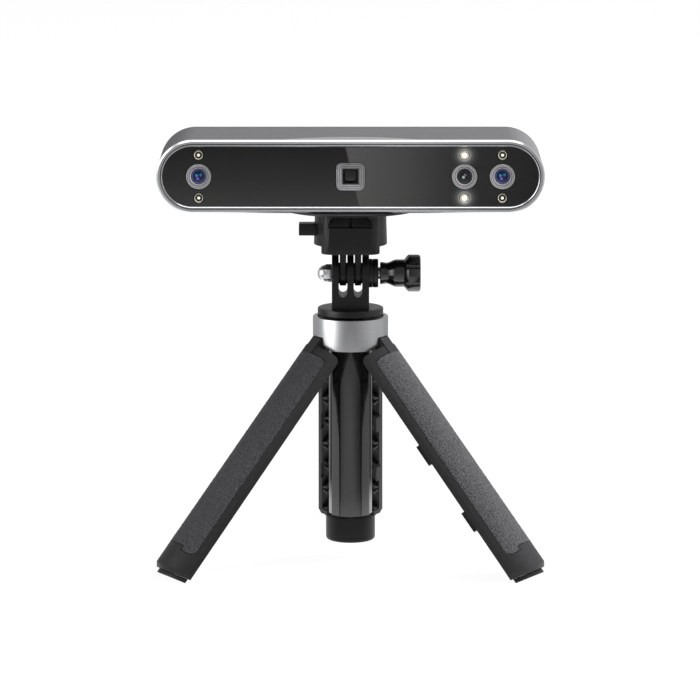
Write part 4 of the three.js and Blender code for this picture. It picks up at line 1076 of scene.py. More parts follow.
class SCANNER_OT_rear(Operator):
    """Models the rear cover with its vents, and the three keys"""

    bl_idname = "scanner.rear"
    bl_label = "Rear cover and keys"

    def execute(self, context):
        self.cover(context.scene.scanner_head)
        for node in KEYS:
            self.key(node)
        return {"FINISHED"}

    def cover(self, size):
        """The cover's plate, its lip inside the housing and the board's posts, with all holes."""
        front = HEAD_HIGH.y
        inside, back = (corner.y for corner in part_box("rear_cover"))
        plate = [
            (HEAD_RADIUS, front + OVERLAP),
            (HEAD_RADIUS, back - size.cover_chamfer),
            (HEAD_RADIUS - size.cover_chamfer, back),
        ]
        piece = softened(long_round(plate, size), 0.12 * MM, 2, 30)
        lip_end = front - 2.4 * MM
        root = front + 0.1 * MM
        outer = HEAD_RADIUS - size.wall - size.fit
        inner = outer - size.wall
        lip = [(outer, lip_end), (outer, root), (inner, root), (inner, lip_end)]
        joined(piece, long_round(lip, size, ring=True))
        post, post_x, post_rise = 2.2 * MM, 52 * MM, 7 * MM
        for x in (-post_x, post_x):
            for rise in (-post_rise, post_rise):
                joined(piece, rod(post, inside, root, "Y", (x, 0, HEAD_Z + rise), 32))
        cut(piece, *self.openings(size, front - MM, back + MM))
        fitted(piece, "rear_cover", smooth=25)

    def openings(self, size, front, back):
        """The socket's, keys', light's and vents' holes."""
        key_hole, light_hole = 3.25 * MM, 1.15 * MM
        for node in KEYS:
            yield rod(key_hole, front, back, "Y", axis_at(node), 48)
        yield rod(light_hole, front, back, "Y", axis_at("status_light_pipe"), 32)
        low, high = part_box("usb_c_socket")
        gap, sliver = size.fit, 0.01 * MM
        socket = block((low.x - gap, front, low.z - gap), (high.x + gap, back, high.z + gap))
        yield rounded(socket, "Y", (high.z - low.z) / 2 + gap - sliver)
        vents, pitch, vents_x = 6, 3.2 * MM, 48 * MM
        half, tall = 0.6 * MM, 6 * MM
        for place in range(vents):
            x = vents_x + (place - (vents - 1) / 2) * pitch
            slot = block((x - half, front, HEAD_Z - tall), (x + half, back, HEAD_Z + tall))
            yield rounded(slot, "Y", half - sliver)

    def key(self, node):
        """A round key with a hollow face and a flange behind the cover."""
        low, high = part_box(node)
        flange = half_of(node)
        radius, thickness, hollow = flange - 0.9 * MM, 0.8 * MM, 0.25 * MM
        profile = [
            (flange, low.y),
            (flange, low.y + thickness),
            (radius, low.y + thickness),
            (radius, high.y - hollow),
            (radius - 0.08 * MM, high.y - 0.06 * MM),
            (radius - 0.3 * MM, high.y),
            (radius * 0.7, high.y - 0.12 * MM),
            (radius * 0.3, high.y - 0.22 * MM),
            (radius * 0.05, high.y - hollow),
        ]
        fitted(turned(profile, 64, "Y", axis_at(node)), node)


# Plate, clamp and tilt joint

def channel(size, gap, top, half_length):
    """The undercut channel's shape, drawn in by a gap for the foot that slides in it."""
    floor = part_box("clamp_body")[1].z - size.channel
    lip = floor + size.lip - gap
    wide = size.channel_half - gap
    narrow = size.mouth_half - gap
    right = [(wide, floor + gap), (wide, lip), (narrow, lip + size.lip_slope), (narrow, top)]
    return outlined(mirrored(right), "Y", PIVOT.y - half_length, PIVOT.y + half_length)


class SCANNER_OT_plate(Operator):
    """Models the quick-release plate with its foot, and the rubber pad on it"""

    bl_idname = "scanner.plate"
    bl_label = "Plate"

    def execute(self, context):
        size = context.scene.scanner_clamp
        low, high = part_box("mount_plate")
        radius = half_of("mount_plate")
        top = high.z
        under = top - MM
        edge = 0.2 * MM
        disc = [(radius - edge, under), (radius, under + edge), (radius, top - edge), (radius - edge, top)]
        piece = turned(disc, 160, place=POST)
        slide, foot_half = 0.3 * MM, 11.2 * MM
        joined(piece, softened(channel(size, slide, under + OVERLAP, foot_half), 0.12 * MM))
        pad_low, pad_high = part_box("mount_pad")
        pad_radius = half_of("mount_pad")
        bore, screw_room = 3.35 * MM, half_of("mount_screw") + CLEAR
        screw_depth = 2.65 * MM
        split_half, split_front, split_back = 0.6 * MM, PIVOT.y - 12.2 * MM, PIVOT.y - 5.2 * MM
        cut(
            piece,
            rod(pad_radius + CLEAR, pad_low.z - OVERLAP, top + MM, place=POST, sides=128),
            rod(bore, low.z - MM, top + MM, place=POST),
            rod(screw_room, low.z - MM, low.z + screw_depth, place=POST),
            block((-split_half, split_front, low.z - MM), (split_half, split_back, under)),
        )
        fitted(piece, "mount_plate")
        # Painted shade: the foot's faces, deep in the clamp's channel, are darkened where shade falls
        # between the parts.
        painted_shade = surface("plate_foot", tone(9), 0.3, shine=0.2)
        painted(piece, painted_shade, lambda face: face.center.z < under - 0.1 * MM)
        pad = [(bore, pad_low.z), (pad_radius, pad_low.z), (pad_radius, pad_high.z), (bore, pad_high.z)]
        fitted(turned(pad, 128, place=POST, ring=True), "mount_pad")
        return {"FINISHED"}


class SCANNER_OT_clamp(Operator):
    """Models the clamp's body, its release button and the button's spring"""

    bl_idname = "scanner.clamp"
    bl_label = "Clamp"

    def execute(self, context):
        size = context.scene.scanner_clamp
        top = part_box("clamp_body")[1].z
        wing, half_depth = half_of("clamp_body"), half_of("clamp_body", "y")
        foot, wing_foot = PIVOT.z + size.foot, PIVOT.z + size.wing
        piece = block((-half_depth, PIVOT.y - half_depth, foot), (half_depth, PIVOT.y + half_depth, top))
        softened(rounded(piece, "Z", size.corner, 10), size.edge, 3, 50)
        wings = turned([(wing, wing_foot), (wing - 0.45 * MM, top)], 128, place=POST)
        common(wings, block((-wing, PIVOT.y - half_depth, foot), (wing, PIVOT.y + half_depth, top)))
        joined(piece, softened(wings, size.edge, 3, 50))
        cut(piece, channel(size, 0, top + MM, 1.2 * half_depth), *self.pocket(top))
        for side in (-1, 1):
            joined(piece, self.finger(size, side * size.finger_spread / 2, foot))
        cut(piece, rod(size.bolt_hole, -size.boss_end, size.boss_end, "X", PIVOT))
        fitted(piece, "clamp_body", smooth=30)
        self.release()
        return {"FINISHED"}

    def finger(self, size, x, foot):
        """One of the clamp's two fingers, with its boss round the bolt."""
        arch = arc((PIVOT.y, PIVOT.z), (size.finger, size.finger), 0.5, 1, 48)
        end = foot + size.edge
        outline = [(PIVOT.y - size.finger, end), *arch, (PIVOT.y + size.finger, end)]
        piece = softened(outlined(outline, "X", x - size.finger_half, x + size.finger_half), 0.15 * MM)
        reach = size.finger_half + 0.4 * MM
        edge = 0.12 * MM
        boss = [(size.finger_boss - edge, x - reach), (size.finger_boss, x - reach + edge)]
        boss += [(radius, 2 * x - place) for radius, place in reversed(boss)]
        return joined(piece, turned(boss, 96, "X", PIVOT))

    def pocket(self, top):
        """The release button's way into the clamp."""
        low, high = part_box("release_button")
        gap, head_end, stem_end = CLEAR, -10.2 * MM, -0.3 * MM
        yield block((low.x, low.y - gap, low.z - gap), (head_end, high.y + gap, high.z + gap))
        middle = top - STEM_DROP
        yield block(
            (low.x, PIVOT.y - STEM_HALF_Y - gap, middle - STEM_HALF_Z - gap),
            (stem_end, PIVOT.y + STEM_HALF_Y + gap, middle + STEM_HALF_Z + gap),
        )

    def release(self):
        """The release button with its stem and the spring's post."""
        low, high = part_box("release_button")
        inner, stem_end, post_start = -12.8 * MM, -8.2 * MM, -8.4 * MM
        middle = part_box("clamp_body")[1].z - STEM_DROP
        piece = softened(block(low, (inner, high.y, high.z)), 0.3 * MM, 3)
        stem = block(
            (inner - 0.5 * MM, PIVOT.y - STEM_HALF_Y, middle - STEM_HALF_Z),
            (stem_end, PIVOT.y + STEM_HALF_Y, middle + STEM_HALF_Z),
        )
        post = rod(0.6 * MM, post_start, high.x, "X", (0, PIVOT.y, middle), 24)
        fitted(joined(piece, softened(stem, 0.15 * MM), post), "release_button", smooth=30)
        self.spring(middle)

    def spring(self, height):
        """A wound spring between the button's stem and the clamp."""
        low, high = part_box("release_spring")
        wire, turns, steps = 0.16 * MM, 7, 16
        radius = half_of("release_spring", "y") - wire
        deselect()
        start = (low.x + wire, PIVOT.y, height + radius)
        bpy.ops.mesh.primitive_circle_add(vertices=8, radius=wire, location=start, fill_type="NGON")
        piece = settle(bpy.context.object)
        pitch = (high.x - low.x - 2 * wire) / turns
        with editing(piece):
            bpy.ops.transform.rotate(value=TURN / 4, orient_axis="X", center_override=start)
            for _ in range(turns * steps):
                bpy.ops.mesh.extrude_region_move(TRANSFORM_OT_translate={"value": (pitch / steps, 0, 0)})
                bpy.ops.transform.rotate(
                    value=TURN / steps, orient_axis="X", center_override=(0, PIVOT.y, height)
                )
        fitted(outward(piece), "release_spring")


class SCANNER_OT_tilt_base(Operator):
    """Models the platform with its three prongs and the boss beside the knob"""

    bl_idname = "scanner.tilt_base"
    bl_label = "Tilt base"

    def execute(self, context):
        size = context.scene.scanner_clamp
        radius, stub = half_of("tilt_base", "y"), 4.6 * MM
        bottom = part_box("collar")[1].z + 0.4 * MM
        top = bottom + 2.9 * MM
        edge, chamfer = 0.12 * MM, 0.4 * MM
        platform = [
            (stub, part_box("tilt_base")[0].z),
            (stub, bottom),
            (radius - chamfer, bottom),
            (radius, bottom + chamfer),
            (radius, top - 3 * edge),
            (radius - edge, top - edge),
            (radius - 3 * edge, top),
        ]
        piece = turned(platform, 160, place=POST)
        joined(piece, self.prongs(size, top))
        pin_hole, pin_half, pin_z = 1.25 * MM, 6 * MM, bottom - 5 * MM
        cut(piece, rod(pin_hole, -pin_half, pin_half, "X", (0, PIVOT.y, pin_z), 24))
        fitted(piece, "tilt_base", smooth=30)
        return {"FINISHED"}

    def prongs(self, size, top):
        """The three prongs in one piece, parted by two slots, with the boss beside the knob."""
        half, reach = size.prong_half, size.prong
        arch = arc((PIVOT.y, PIVOT.z), (reach, reach), 0, 0.5, 64)
        base = top - size.edge - OVERLAP
        piece = outlined([(PIVOT.y + reach, base), *arch, (PIVOT.y - reach, base)], "X", -half, half)
        softened(piece, 0.25 * MM, 3, 50)
        floor = PIVOT.z - size.slot_floor + size.slot_half
        near, far, above = PIVOT.y - 2 * reach, PIVOT.y + 2 * reach, PIVOT.z + 2 * reach
        for side in (-1, 1):
            x = side * size.finger_spread / 2
            cut(
                piece,
                block((x - size.slot_half, near, floor), (x + size.slot_half, far, above)),
                rod(size.slot_half, near, far, "Y", (x, 0, floor), 48),
            )
        edge = 0.3 * MM
        boss = [
            (size.boss, half - edge),
            (size.boss, half + 1.1 * MM),
            (size.boss - edge / 2, half + 1.3 * MM),
            (size.boss - edge / 2, half + 1.6 * MM),
            (size.boss, half + 1.8 * MM),
            (size.boss, size.boss_end - edge),
            (size.boss - edge, size.boss_end),
        ]
        joined(piece, turned(boss, 96, "X", PIVOT))
        return cut(piece, rod(size.bolt_hole, -2 * half, 2 * half, "X", PIVOT))


class SCANNER_OT_thumbscrew(Operator):
    """Models the waisted knob with its six grooves, and the acorn nut"""

    bl_idname = "scanner.thumbscrew"
    bl_label = "Thumbscrew"

    def execute(self, context):
        self.knob()
        self.nut()
        return {"FINISHED"}

    def knob(self):
        """The knob with its waist, its wide head and six grooves."""
        start, end = (corner.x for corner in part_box("thumbscrew_knob"))
        neck, waist, flare, head = (value * MM for value in (4.5, 4.2, 5.5, 7.4))
        lobes, groove, steps = 6, 1.1 * MM, 12
        curve = []
        for step in range(steps + 1):
            swell = (1 - math.cos(math.pi * step / steps)) / 2
            curve.append((waist + (flare - waist) * swell, start + (2.4 + 4.2 * step / steps) * MM))
        profile = [
            (neck - 0.3 * MM, start),
            (neck, start + 0.3 * MM),
            (neck, start + 0.8 * MM),
            *curve,
            (flare, start + 9.6 * MM),
            (head - 0.4 * MM, start + 10.9 * MM),
            (head, start + 11.4 * MM),
            (head, end - 0.9 * MM),
            (head - 0.3 * MM, end - 0.3 * MM),
            (head - 0.9 * MM, end),
            (head - 2.4 * MM, end - 0.1 * MM),
            (head - 2.6 * MM, end - 0.5 * MM),
        ]
        piece = turned(profile, 144, "X", PIVOT)
        cuts = []
        for lobe in range(lobes):
            angle = (lobe + 0.5) * TURN / lobes
            place = (0, PIVOT.y - head * math.cos(angle), PIVOT.z - head * math.sin(angle))
            cuts.append(rod(groove, start + 9.8 * MM, end + MM, "X", place, 32))
        cut(piece, *cuts, rod(BOLT_ROOM, start - MM, start + 9 * MM, "X", PIVOT, 48))
        fitted(piece, "thumbscrew_knob")

    def nut(self):
        """The nut's hexagon with its domed end."""
        low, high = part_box("acorn_nut")
        radius = half_of("acorn_nut", "z")
        crown, rise, bolt_end = 0.9 * radius, 3.2 * MM, low.x + 1.6 * MM
        shoulder = low.x + rise
        rounds = arc((0, shoulder), (crown, -rise), 0, 0.25, 10)[:-1]
        piece = softened(turned([(radius, shoulder), (radius, high.x)], 6, "X", PIVOT), 0.2 * MM, 3)
        dome = [(crown, shoulder + 0.3 * MM), *rounds, (crown * 0.03, low.x)]
        joined(piece, turned(dome, 96, "X", PIVOT))
        cut(piece, rod(BOLT_ROOM, bolt_end, high.x + MM, "X", PIVOT, 48))
        fitted(piece, "acorn_nut", smooth=30)


# Collar, column and legs

class SCANNER_OT_collar(Operator):
    """Models the satin collar with its three tabs between the legs"""

    bl_idname = "scanner.collar"
    bl_label = "Collar"

    def execute(self, context):
        low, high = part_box("collar")
        radius = half_of("collar")
        wall, edge = 1.8 * MM, 0.5 * MM
        inner = radius - wall
        profile = [
            (inner, low.z),
            (radius, low.z),
            (radius, high.z - edge),
            (radius - edge * 0.3, high.z - edge * 0.3),
            (radius - edge, high.z),
            (inner, high.z),
        ]
        piece = turned(profile, 192, place=POST, ring=True)
        for turn in LEG_TURNS.values():
            cut(piece, self.notch(radius, turn))
        fitted(piece, "collar", smooth=30)
        return {"FINISHED"}

    def notch(self, radius, turn):
        """The gap between two tabs, over a leg's knuckle."""
        width_turn, foot_turn = math.radians(13.2), math.radians(32.6)
        width, foot = radius * math.sin(width_turn), radius * math.sin(foot_turn)
        right = [(foot, -4.7 * MM), (foot, -3.66 * MM), (width, -1.72 * MM), (width, 1.5 * MM)]
        piece = outlined(mirrored(right), "Y", -radius - MM, -radius / 2)
        return moved(piece, Matrix.Translation(COLUMN) @ Matrix.Rotation(turn, 4, "Z"))


class SCANNER_OT_column(Operator):
    """Finishes the column's tubes and models its cap"""

    bl_idname = "scanner.column"
    bl_label = "Column"

    def execute(self, context):
        for node in ("column_outer_tube", "column_mid_tube", "column_inner_tube"):
            self.tube(node)
        self.cap()
        return {"FINISHED"}

    def tube(self, node):
        """A merged copy of the tube with its long outer edges rounded."""
        low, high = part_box(node)
        wall = 0.6 * MM
        reach = half_of(node, "y") - wall
        piece = node_copy(node)
        with editing(piece):
            choose(
                piece,
                "edges",
                lambda edge: edge.calc_length() > 0.5 * (high.z - low.z)
                and (edge.verts[0].co.xy - PIVOT.xy).length > reach,
            )
            bpy.ops.mesh.bevel(offset=0.4 * MM, segments=4, affect="EDGES")
        fitted(piece, node, smooth=18)

    def cap(self):
        """The column's cap, with room for the outer tube's end and a hollow under it."""
        low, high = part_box("column_cap")
        radius = half_of("column_cap")
        edge, rim = 1.4 * MM, 0.25 * MM
        tube_room, tube_depth = 8.92 * MM, 6 * MM
        hollow, floor = 7.6 * MM, 2.2 * MM
        corner = arc((radius - edge, low.z + edge), (edge, edge), -0.25, 0, 6)
        piece = turned([*corner, (radius, high.z - rim), (radius - rim, high.z)], 128, place=POST)
        cut(
            piece,
            rod(tube_room, high.z - tube_depth, high.z + MM, place=POST, sides=12),
            rod(hollow, low.z + floor, high.z, place=POST, sides=48),
        )
        # Painted shade: the cap takes the matte plastic at half its shade, darker than the same plastic
        # elsewhere.
        shade = shaded(colours().matte, 0.5)
        plastic = surface("cap_plastic", shade, 0.42, grain=5200, height=0.004, shine=0.22)
        fitted(piece, "column_cap", finish=plastic, smooth=30)


class SCANNER_OT_legs(Operator):
    """Models one leg with its shell, grip and foot, and copies it to the three hinges"""

    bl_idname = "scanner.legs"
    bl_label = "Legs"

    def execute(self, context):
        size = context.scene.scanner_leg
        models = {"shell": self.shell(size), "grip": self.grip(size), "foot": self.foot(size)}
        for leg, turn in LEG_TURNS.items():
            for part, model in models.items():
                about = Matrix.Translation(COLUMN)
                piece = moved(copied(model), about @ Matrix.Rotation(turn, 4, "Z") @ about.inverted())
                fitted(piece, f"{leg}_{part}", smooth=30)
        for model in models.values():
            bpy.data.objects.remove(model)
        return {"FINISHED"}

    def sector(self, size, bore, radius, low, high, inset):
        """A third of a ring round the column, drawn in from the planes that part it from its neighbours."""
        profile = [(bore, low), (radius, low), (radius, high), (bore, high)]
        piece = turned(profile, size.sides, ring=True)
        for side in (-1, 1):
            normal = Vector((side * math.cos(TURN / 6), math.sin(TURN / 6), 0))
            part_off(piece, -inset * normal, normal)
        return piece

    def flared(self, piece, size):
        """Widens the piece from the hinge to the foot about the column's axis."""
        heights = [vert.co.z for vert in piece.data.vertices]
        widening = 0.045
        factor = -widening * (max(heights) - min(heights)) / size.length
        return modified(piece, "SIMPLE_DEFORM", deform_method="TAPER", deform_axis="Z", factor=factor)

    def opened(self, piece, size):
        """Swings the piece out on its hinge to where the open leg stands."""
        hinge = Matrix.Translation((0, -size.hinge, 0))
        swing = hinge @ Matrix.Rotation(-SPLAY, 4, "X") @ hinge.inverted()
        return moved(piece, Matrix.Translation(COLUMN) @ swing)

    def end_plane(self, size, length):
        """A point and a normal of a leg's slanted lower end."""
        return Vector((0, -size.outer, -length)), Vector((0, math.tan(END_TILT), -1))

    def shell(self, size):
        """The leg's shell with its recess, channel, ribs, knuckle and side catches."""
        end, top = -size.length, -size.shoulder
        piece = self.sector(size, size.end_inner, size.outer, end - size.wall, top, size.gap)
        part_off(piece, *self.end_plane(size, size.length))
        cut(piece, *(self.corner(size, side, top) for side in (-1, 1)), self.end_chamfer(size))
        self.round_edges(piece, size)
        channel_end = end + size.end_wall
        walls = (size.inner - MM, size.outer - size.wall)
        cut(
            piece,
            rod(size.inner, channel_end, MM, sides=size.sides),
            self.sector(size, *walls, channel_end, top - size.top_wall, size.gap + size.wall),
            self.sector(size, *walls, channel_end + MM, -size.grip_top - 4 * MM, -MM),
            self.grip_face(size, size.grip_gap, size.outer + MM),
        )
        joined(piece, self.knuckle(size))
        joined(piece, self.ribs(size))
        catches, proud, depth, room = ((47.6, 56.6), (79.7, 88.6)), 1.3 * MM, 1.6 * MM, 0.3 * MM
        for start, stop in catches:
            cut(piece, self.side_block(size, 1, MM, depth, room, start * MM, stop * MM))
            joined(piece, self.side_block(size, -1, proud, MM, 0, start * MM, stop * MM))
        self.flared(piece, size)
        self.opened(piece, size)
        return part_off(piece, (0, 0, size.lift), (0, 0, -1))

    def corner(self, size, side, top):
        """What the round of one of the shoulder's corners takes away."""
        near, far = size.end_inner - MM, size.outer + MM
        low = top - size.corner
        middle = -side * (size.gap + size.corner)
        ends = sorted((middle, side * MM))
        piece = block((ends[0], -far, low), (ends[1], -near, top + MM))
        cut(piece, rod(size.corner, -far - MM, -near + MM, "Y", (middle, 0, low), 48))
        return moved(piece, Matrix.Rotation(side * TURN / 6, 4, "Z"))

    def end_chamfer(self, size):
        """What the chamfer round the leg's end takes away."""
        slope = size.end_run / size.end_rise
        profile = [
            (size.outer - size.end_run - MM * slope, -size.length - MM),
            (size.outer + MM, -size.length - MM),
            (size.outer + MM, -size.length + size.end_rise + MM / slope),
        ]
        stretch = 1 / math.cos(END_TILT)
        tilt = Matrix.Rotation(END_TILT, 4, "X") @ Matrix.Diagonal((1, stretch, stretch, 1))
        middle = Matrix.Translation((0, 0, size.outer * math.tan(END_TILT) - size.length))
        piece = turned(profile, size.sides, ring=True)
        return moved(piece, middle @ tilt @ Matrix.Translation((0, 0, size.length)))

    def round_edges(self, piece, size):
        """Rounds the outer face's edges."""
        reach = size.outer - size.end_run - MM

        def outside(edge):
            return sharp(edge) and all(vert.co.xy.length > reach for vert in edge.verts)

        with editing(piece):
            bpy.ops.mesh.remove_doubles(threshold=MM / 200)
            choose(piece, "edges", outside)
            bpy.ops.mesh.bevel(offset=size.edge, segments=2, affect="EDGES", clamp_overlap=True)

    def grip_face(self, size, gap, outer):
        """The grip's body, or its recess when given a gap: a band of the leg's face with round corners."""
        inner = size.outer - size.grip_depth - gap
        half_turn, tongue_turn = math.radians(42.7), math.radians(19.2)
        half = size.outer * math.sin(half_turn) + gap
        top, low = -size.grip_top + gap, -size.grip_end - gap
        piece = block((-half, -2 * size.outer, low), (half, -size.outer / 2, top))
        rounded(piece, "Y", size.grip_corner + gap)
        tongue = size.outer * math.sin(tongue_turn) - gap
        step = low + size.grip_step
        cut(piece, block((-tongue, -3 * size.outer, low - MM), (tongue, 0, step)))
        profile = [(inner, low - MM), (outer, low - MM), (outer, top + MM), (inner, top + MM)]
        return common(piece, turned(profile, size.sides, ring=True))

    def knuckle(self, size):
        """The hinge's round knuckle, flat where it stops under the collar."""
        half, pin_hole = size.knuckle_half, 1.2 * MM
        low = -size.shoulder - size.top_wall
        piece = block((-half, -size.outer, low - OVERLAP), (half, -size.inner, size.knuckle))
        joined(piece, rod(size.knuckle, -half, half, "X", (0, -size.hinge, 0), 48))
        normal = Vector((0, -math.sin(SPLAY), math.cos(SPLAY)))
        part_off(piece, Vector((0, -size.hinge, 0)) + size.stop * normal, normal)
        return cut(piece, rod(pin_hole, -2 * half, 2 * half, "X", (0, -size.hinge, 0), 32))

    def side_block(self, size, side, proud, depth, gap, start, stop):
        """A block at one side of a leg, standing proud of it and reaching in to a depth."""
        inset, width = 1.1 * MM, 2.2 * MM
        near = size.inner + inset - gap
        far = near + width + 2 * gap
        ends = sorted((side * (proud - size.gap), -side * (depth + size.gap)))
        piece = block((ends[0], -far, -stop - gap), (ends[1], -near, -start + gap))
        return moved(piece, Matrix.Rotation(side * TURN / 6, 4, "Z"))

    def ribs(self, size):
        """Crossed ribs on the inside of the leg's channel."""
        top = -size.shoulder - size.top_wall
        room = size.length - size.end_wall + top
        cells = int(room / size.rib_pitch)
        pitch = room / cells
        across = 2 * size.outer * math.sin(TURN / 6)
        half = math.hypot(pitch, across) / 2
        bars = []
        for cell in range(cells):
            for side in (-1, 1):
                bar = block((-half, -size.outer, -size.rib_half), (half, 0, size.rib_half))
                turn = Matrix.Rotation(side * math.atan2(pitch, across), 4, "Y")
                bars.append(moved(bar, Matrix.Translation((0, 0, top - (cell + 0.5) * pitch)) @ turn))
        wall = size.outer - size.wall
        low = -size.length + size.end_wall - OVERLAP
        walls = (wall - size.rib_height, wall + OVERLAP)
        space = self.sector(size, *walls, low, top + OVERLAP, size.gap + 0.3 * MM)
        return common(joined(*bars), space)

    def grip(self, size):
        """The grip, remeshed finely so that its stipple stands out of it."""
        piece = self.grip_face(size, 0, size.outer)
        modified(piece, "REMESH", mode="VOXEL", voxel_size=size.voxel)
        texture = bpy.data.textures.new("grip_stipple", "CLOUDS")
        texture.noise_scale = size.stipple_size
        texture.noise_depth = 1
        modified(piece, "DISPLACE", texture=texture, strength=size.stipple, mid_level=0.55)
        return self.opened(self.flared(piece, size), size)

    def foot(self, size):
        """The thin rubber foot, flat where it meets the ground."""
        low = -size.foot_end
        walls = (size.end_inner + 0.4 * MM, size.outer - size.foot_rim)
        piece = self.sector(size, *walls, low - 3 * MM, low + 4 * MM, size.gap + MM)
        part_off(piece, *self.end_plane(size, size.foot_end))
        point, normal = self.end_plane(size, size.length + OVERLAP)
        part_off(piece, point, -normal)
        softened(piece, 0.3 * MM, 3, 50)
        self.opened(self.flared(piece, size), size)
        reach = 2 * size.length
        return common(piece, block((-reach, -reach, 0), (reach, reach, reach)))


class SCANNER_OT_inside(Operator):
    """Gives the CAD pieces that still show their finish"""

    bl_idname = "scanner.inside"
    bl_label = "Carried pieces"

    def execute(self, context):
        for node, piece in frame["nodes"].items():
            if not piece.hide_render:
                piece.data.materials.clear()
                piece.data.materials.append(finish_of(SLOTS[node]))
        return {"FINISHED"}


# Stage

def mixed(tree, share, first, second):
    """One shader that runs from the first to the second."""
    return node_of(tree, "ShaderNodeMixShader", {0: share, 1: first, 2: second}).outputs[0]


def plain_view(tree, rays):
    """1 for what the camera sees, straight or through glass."""
    return worked(tree, "MAXIMUM", rays["Is Camera Ray"], rays["Is Transmission Ray"])


def backdrop(tree, shade, strength=1):
    """A world's even shader of a colour and a strength."""
    return node_of(tree, "ShaderNodeBackground", {"Color": shade, "Strength": strength}).outputs[0]


def direction_parts(tree, place):
    """The three parts of the direction to a place."""
    way = node_of(tree, "ShaderNodeVectorMath", {0: place}, operation="NORMALIZE").outputs["Vector"]
    return node_of(tree, "ShaderNodeSeparateXYZ", {"Vector": way}).outputs


def surroundings(tree, direction):
    """What glossy surfaces mirror: dim in front, bright to the left, paler to the right and behind."""
    axes = direction_parts(tree, direction)
    stops = (
        (-1, 1.1), (-0.96, 1.7), (-0.88, 2.6), (-0.8, 2.3), (-0.7, 1.3), (-0.58, 0.6),
        (-0.35, 0.34), (0.1, 0.28), (0.45, 0.42), (0.8, 0.6), (0.95, 0.72), (1, 0.6),
    )
    along = mapped(tree, axes["X"], low=-1)
    front = ramp_of(tree, along, *(((x + 1) / 2, shade) for x, shade in stops))
    back = worked(tree, "MULTIPLY_ADD", axes["X"], -0.25, axes["Y"])
    return blended(tree, mapped(tree, back, 0.1, 0.35), front, rgba(0.5))


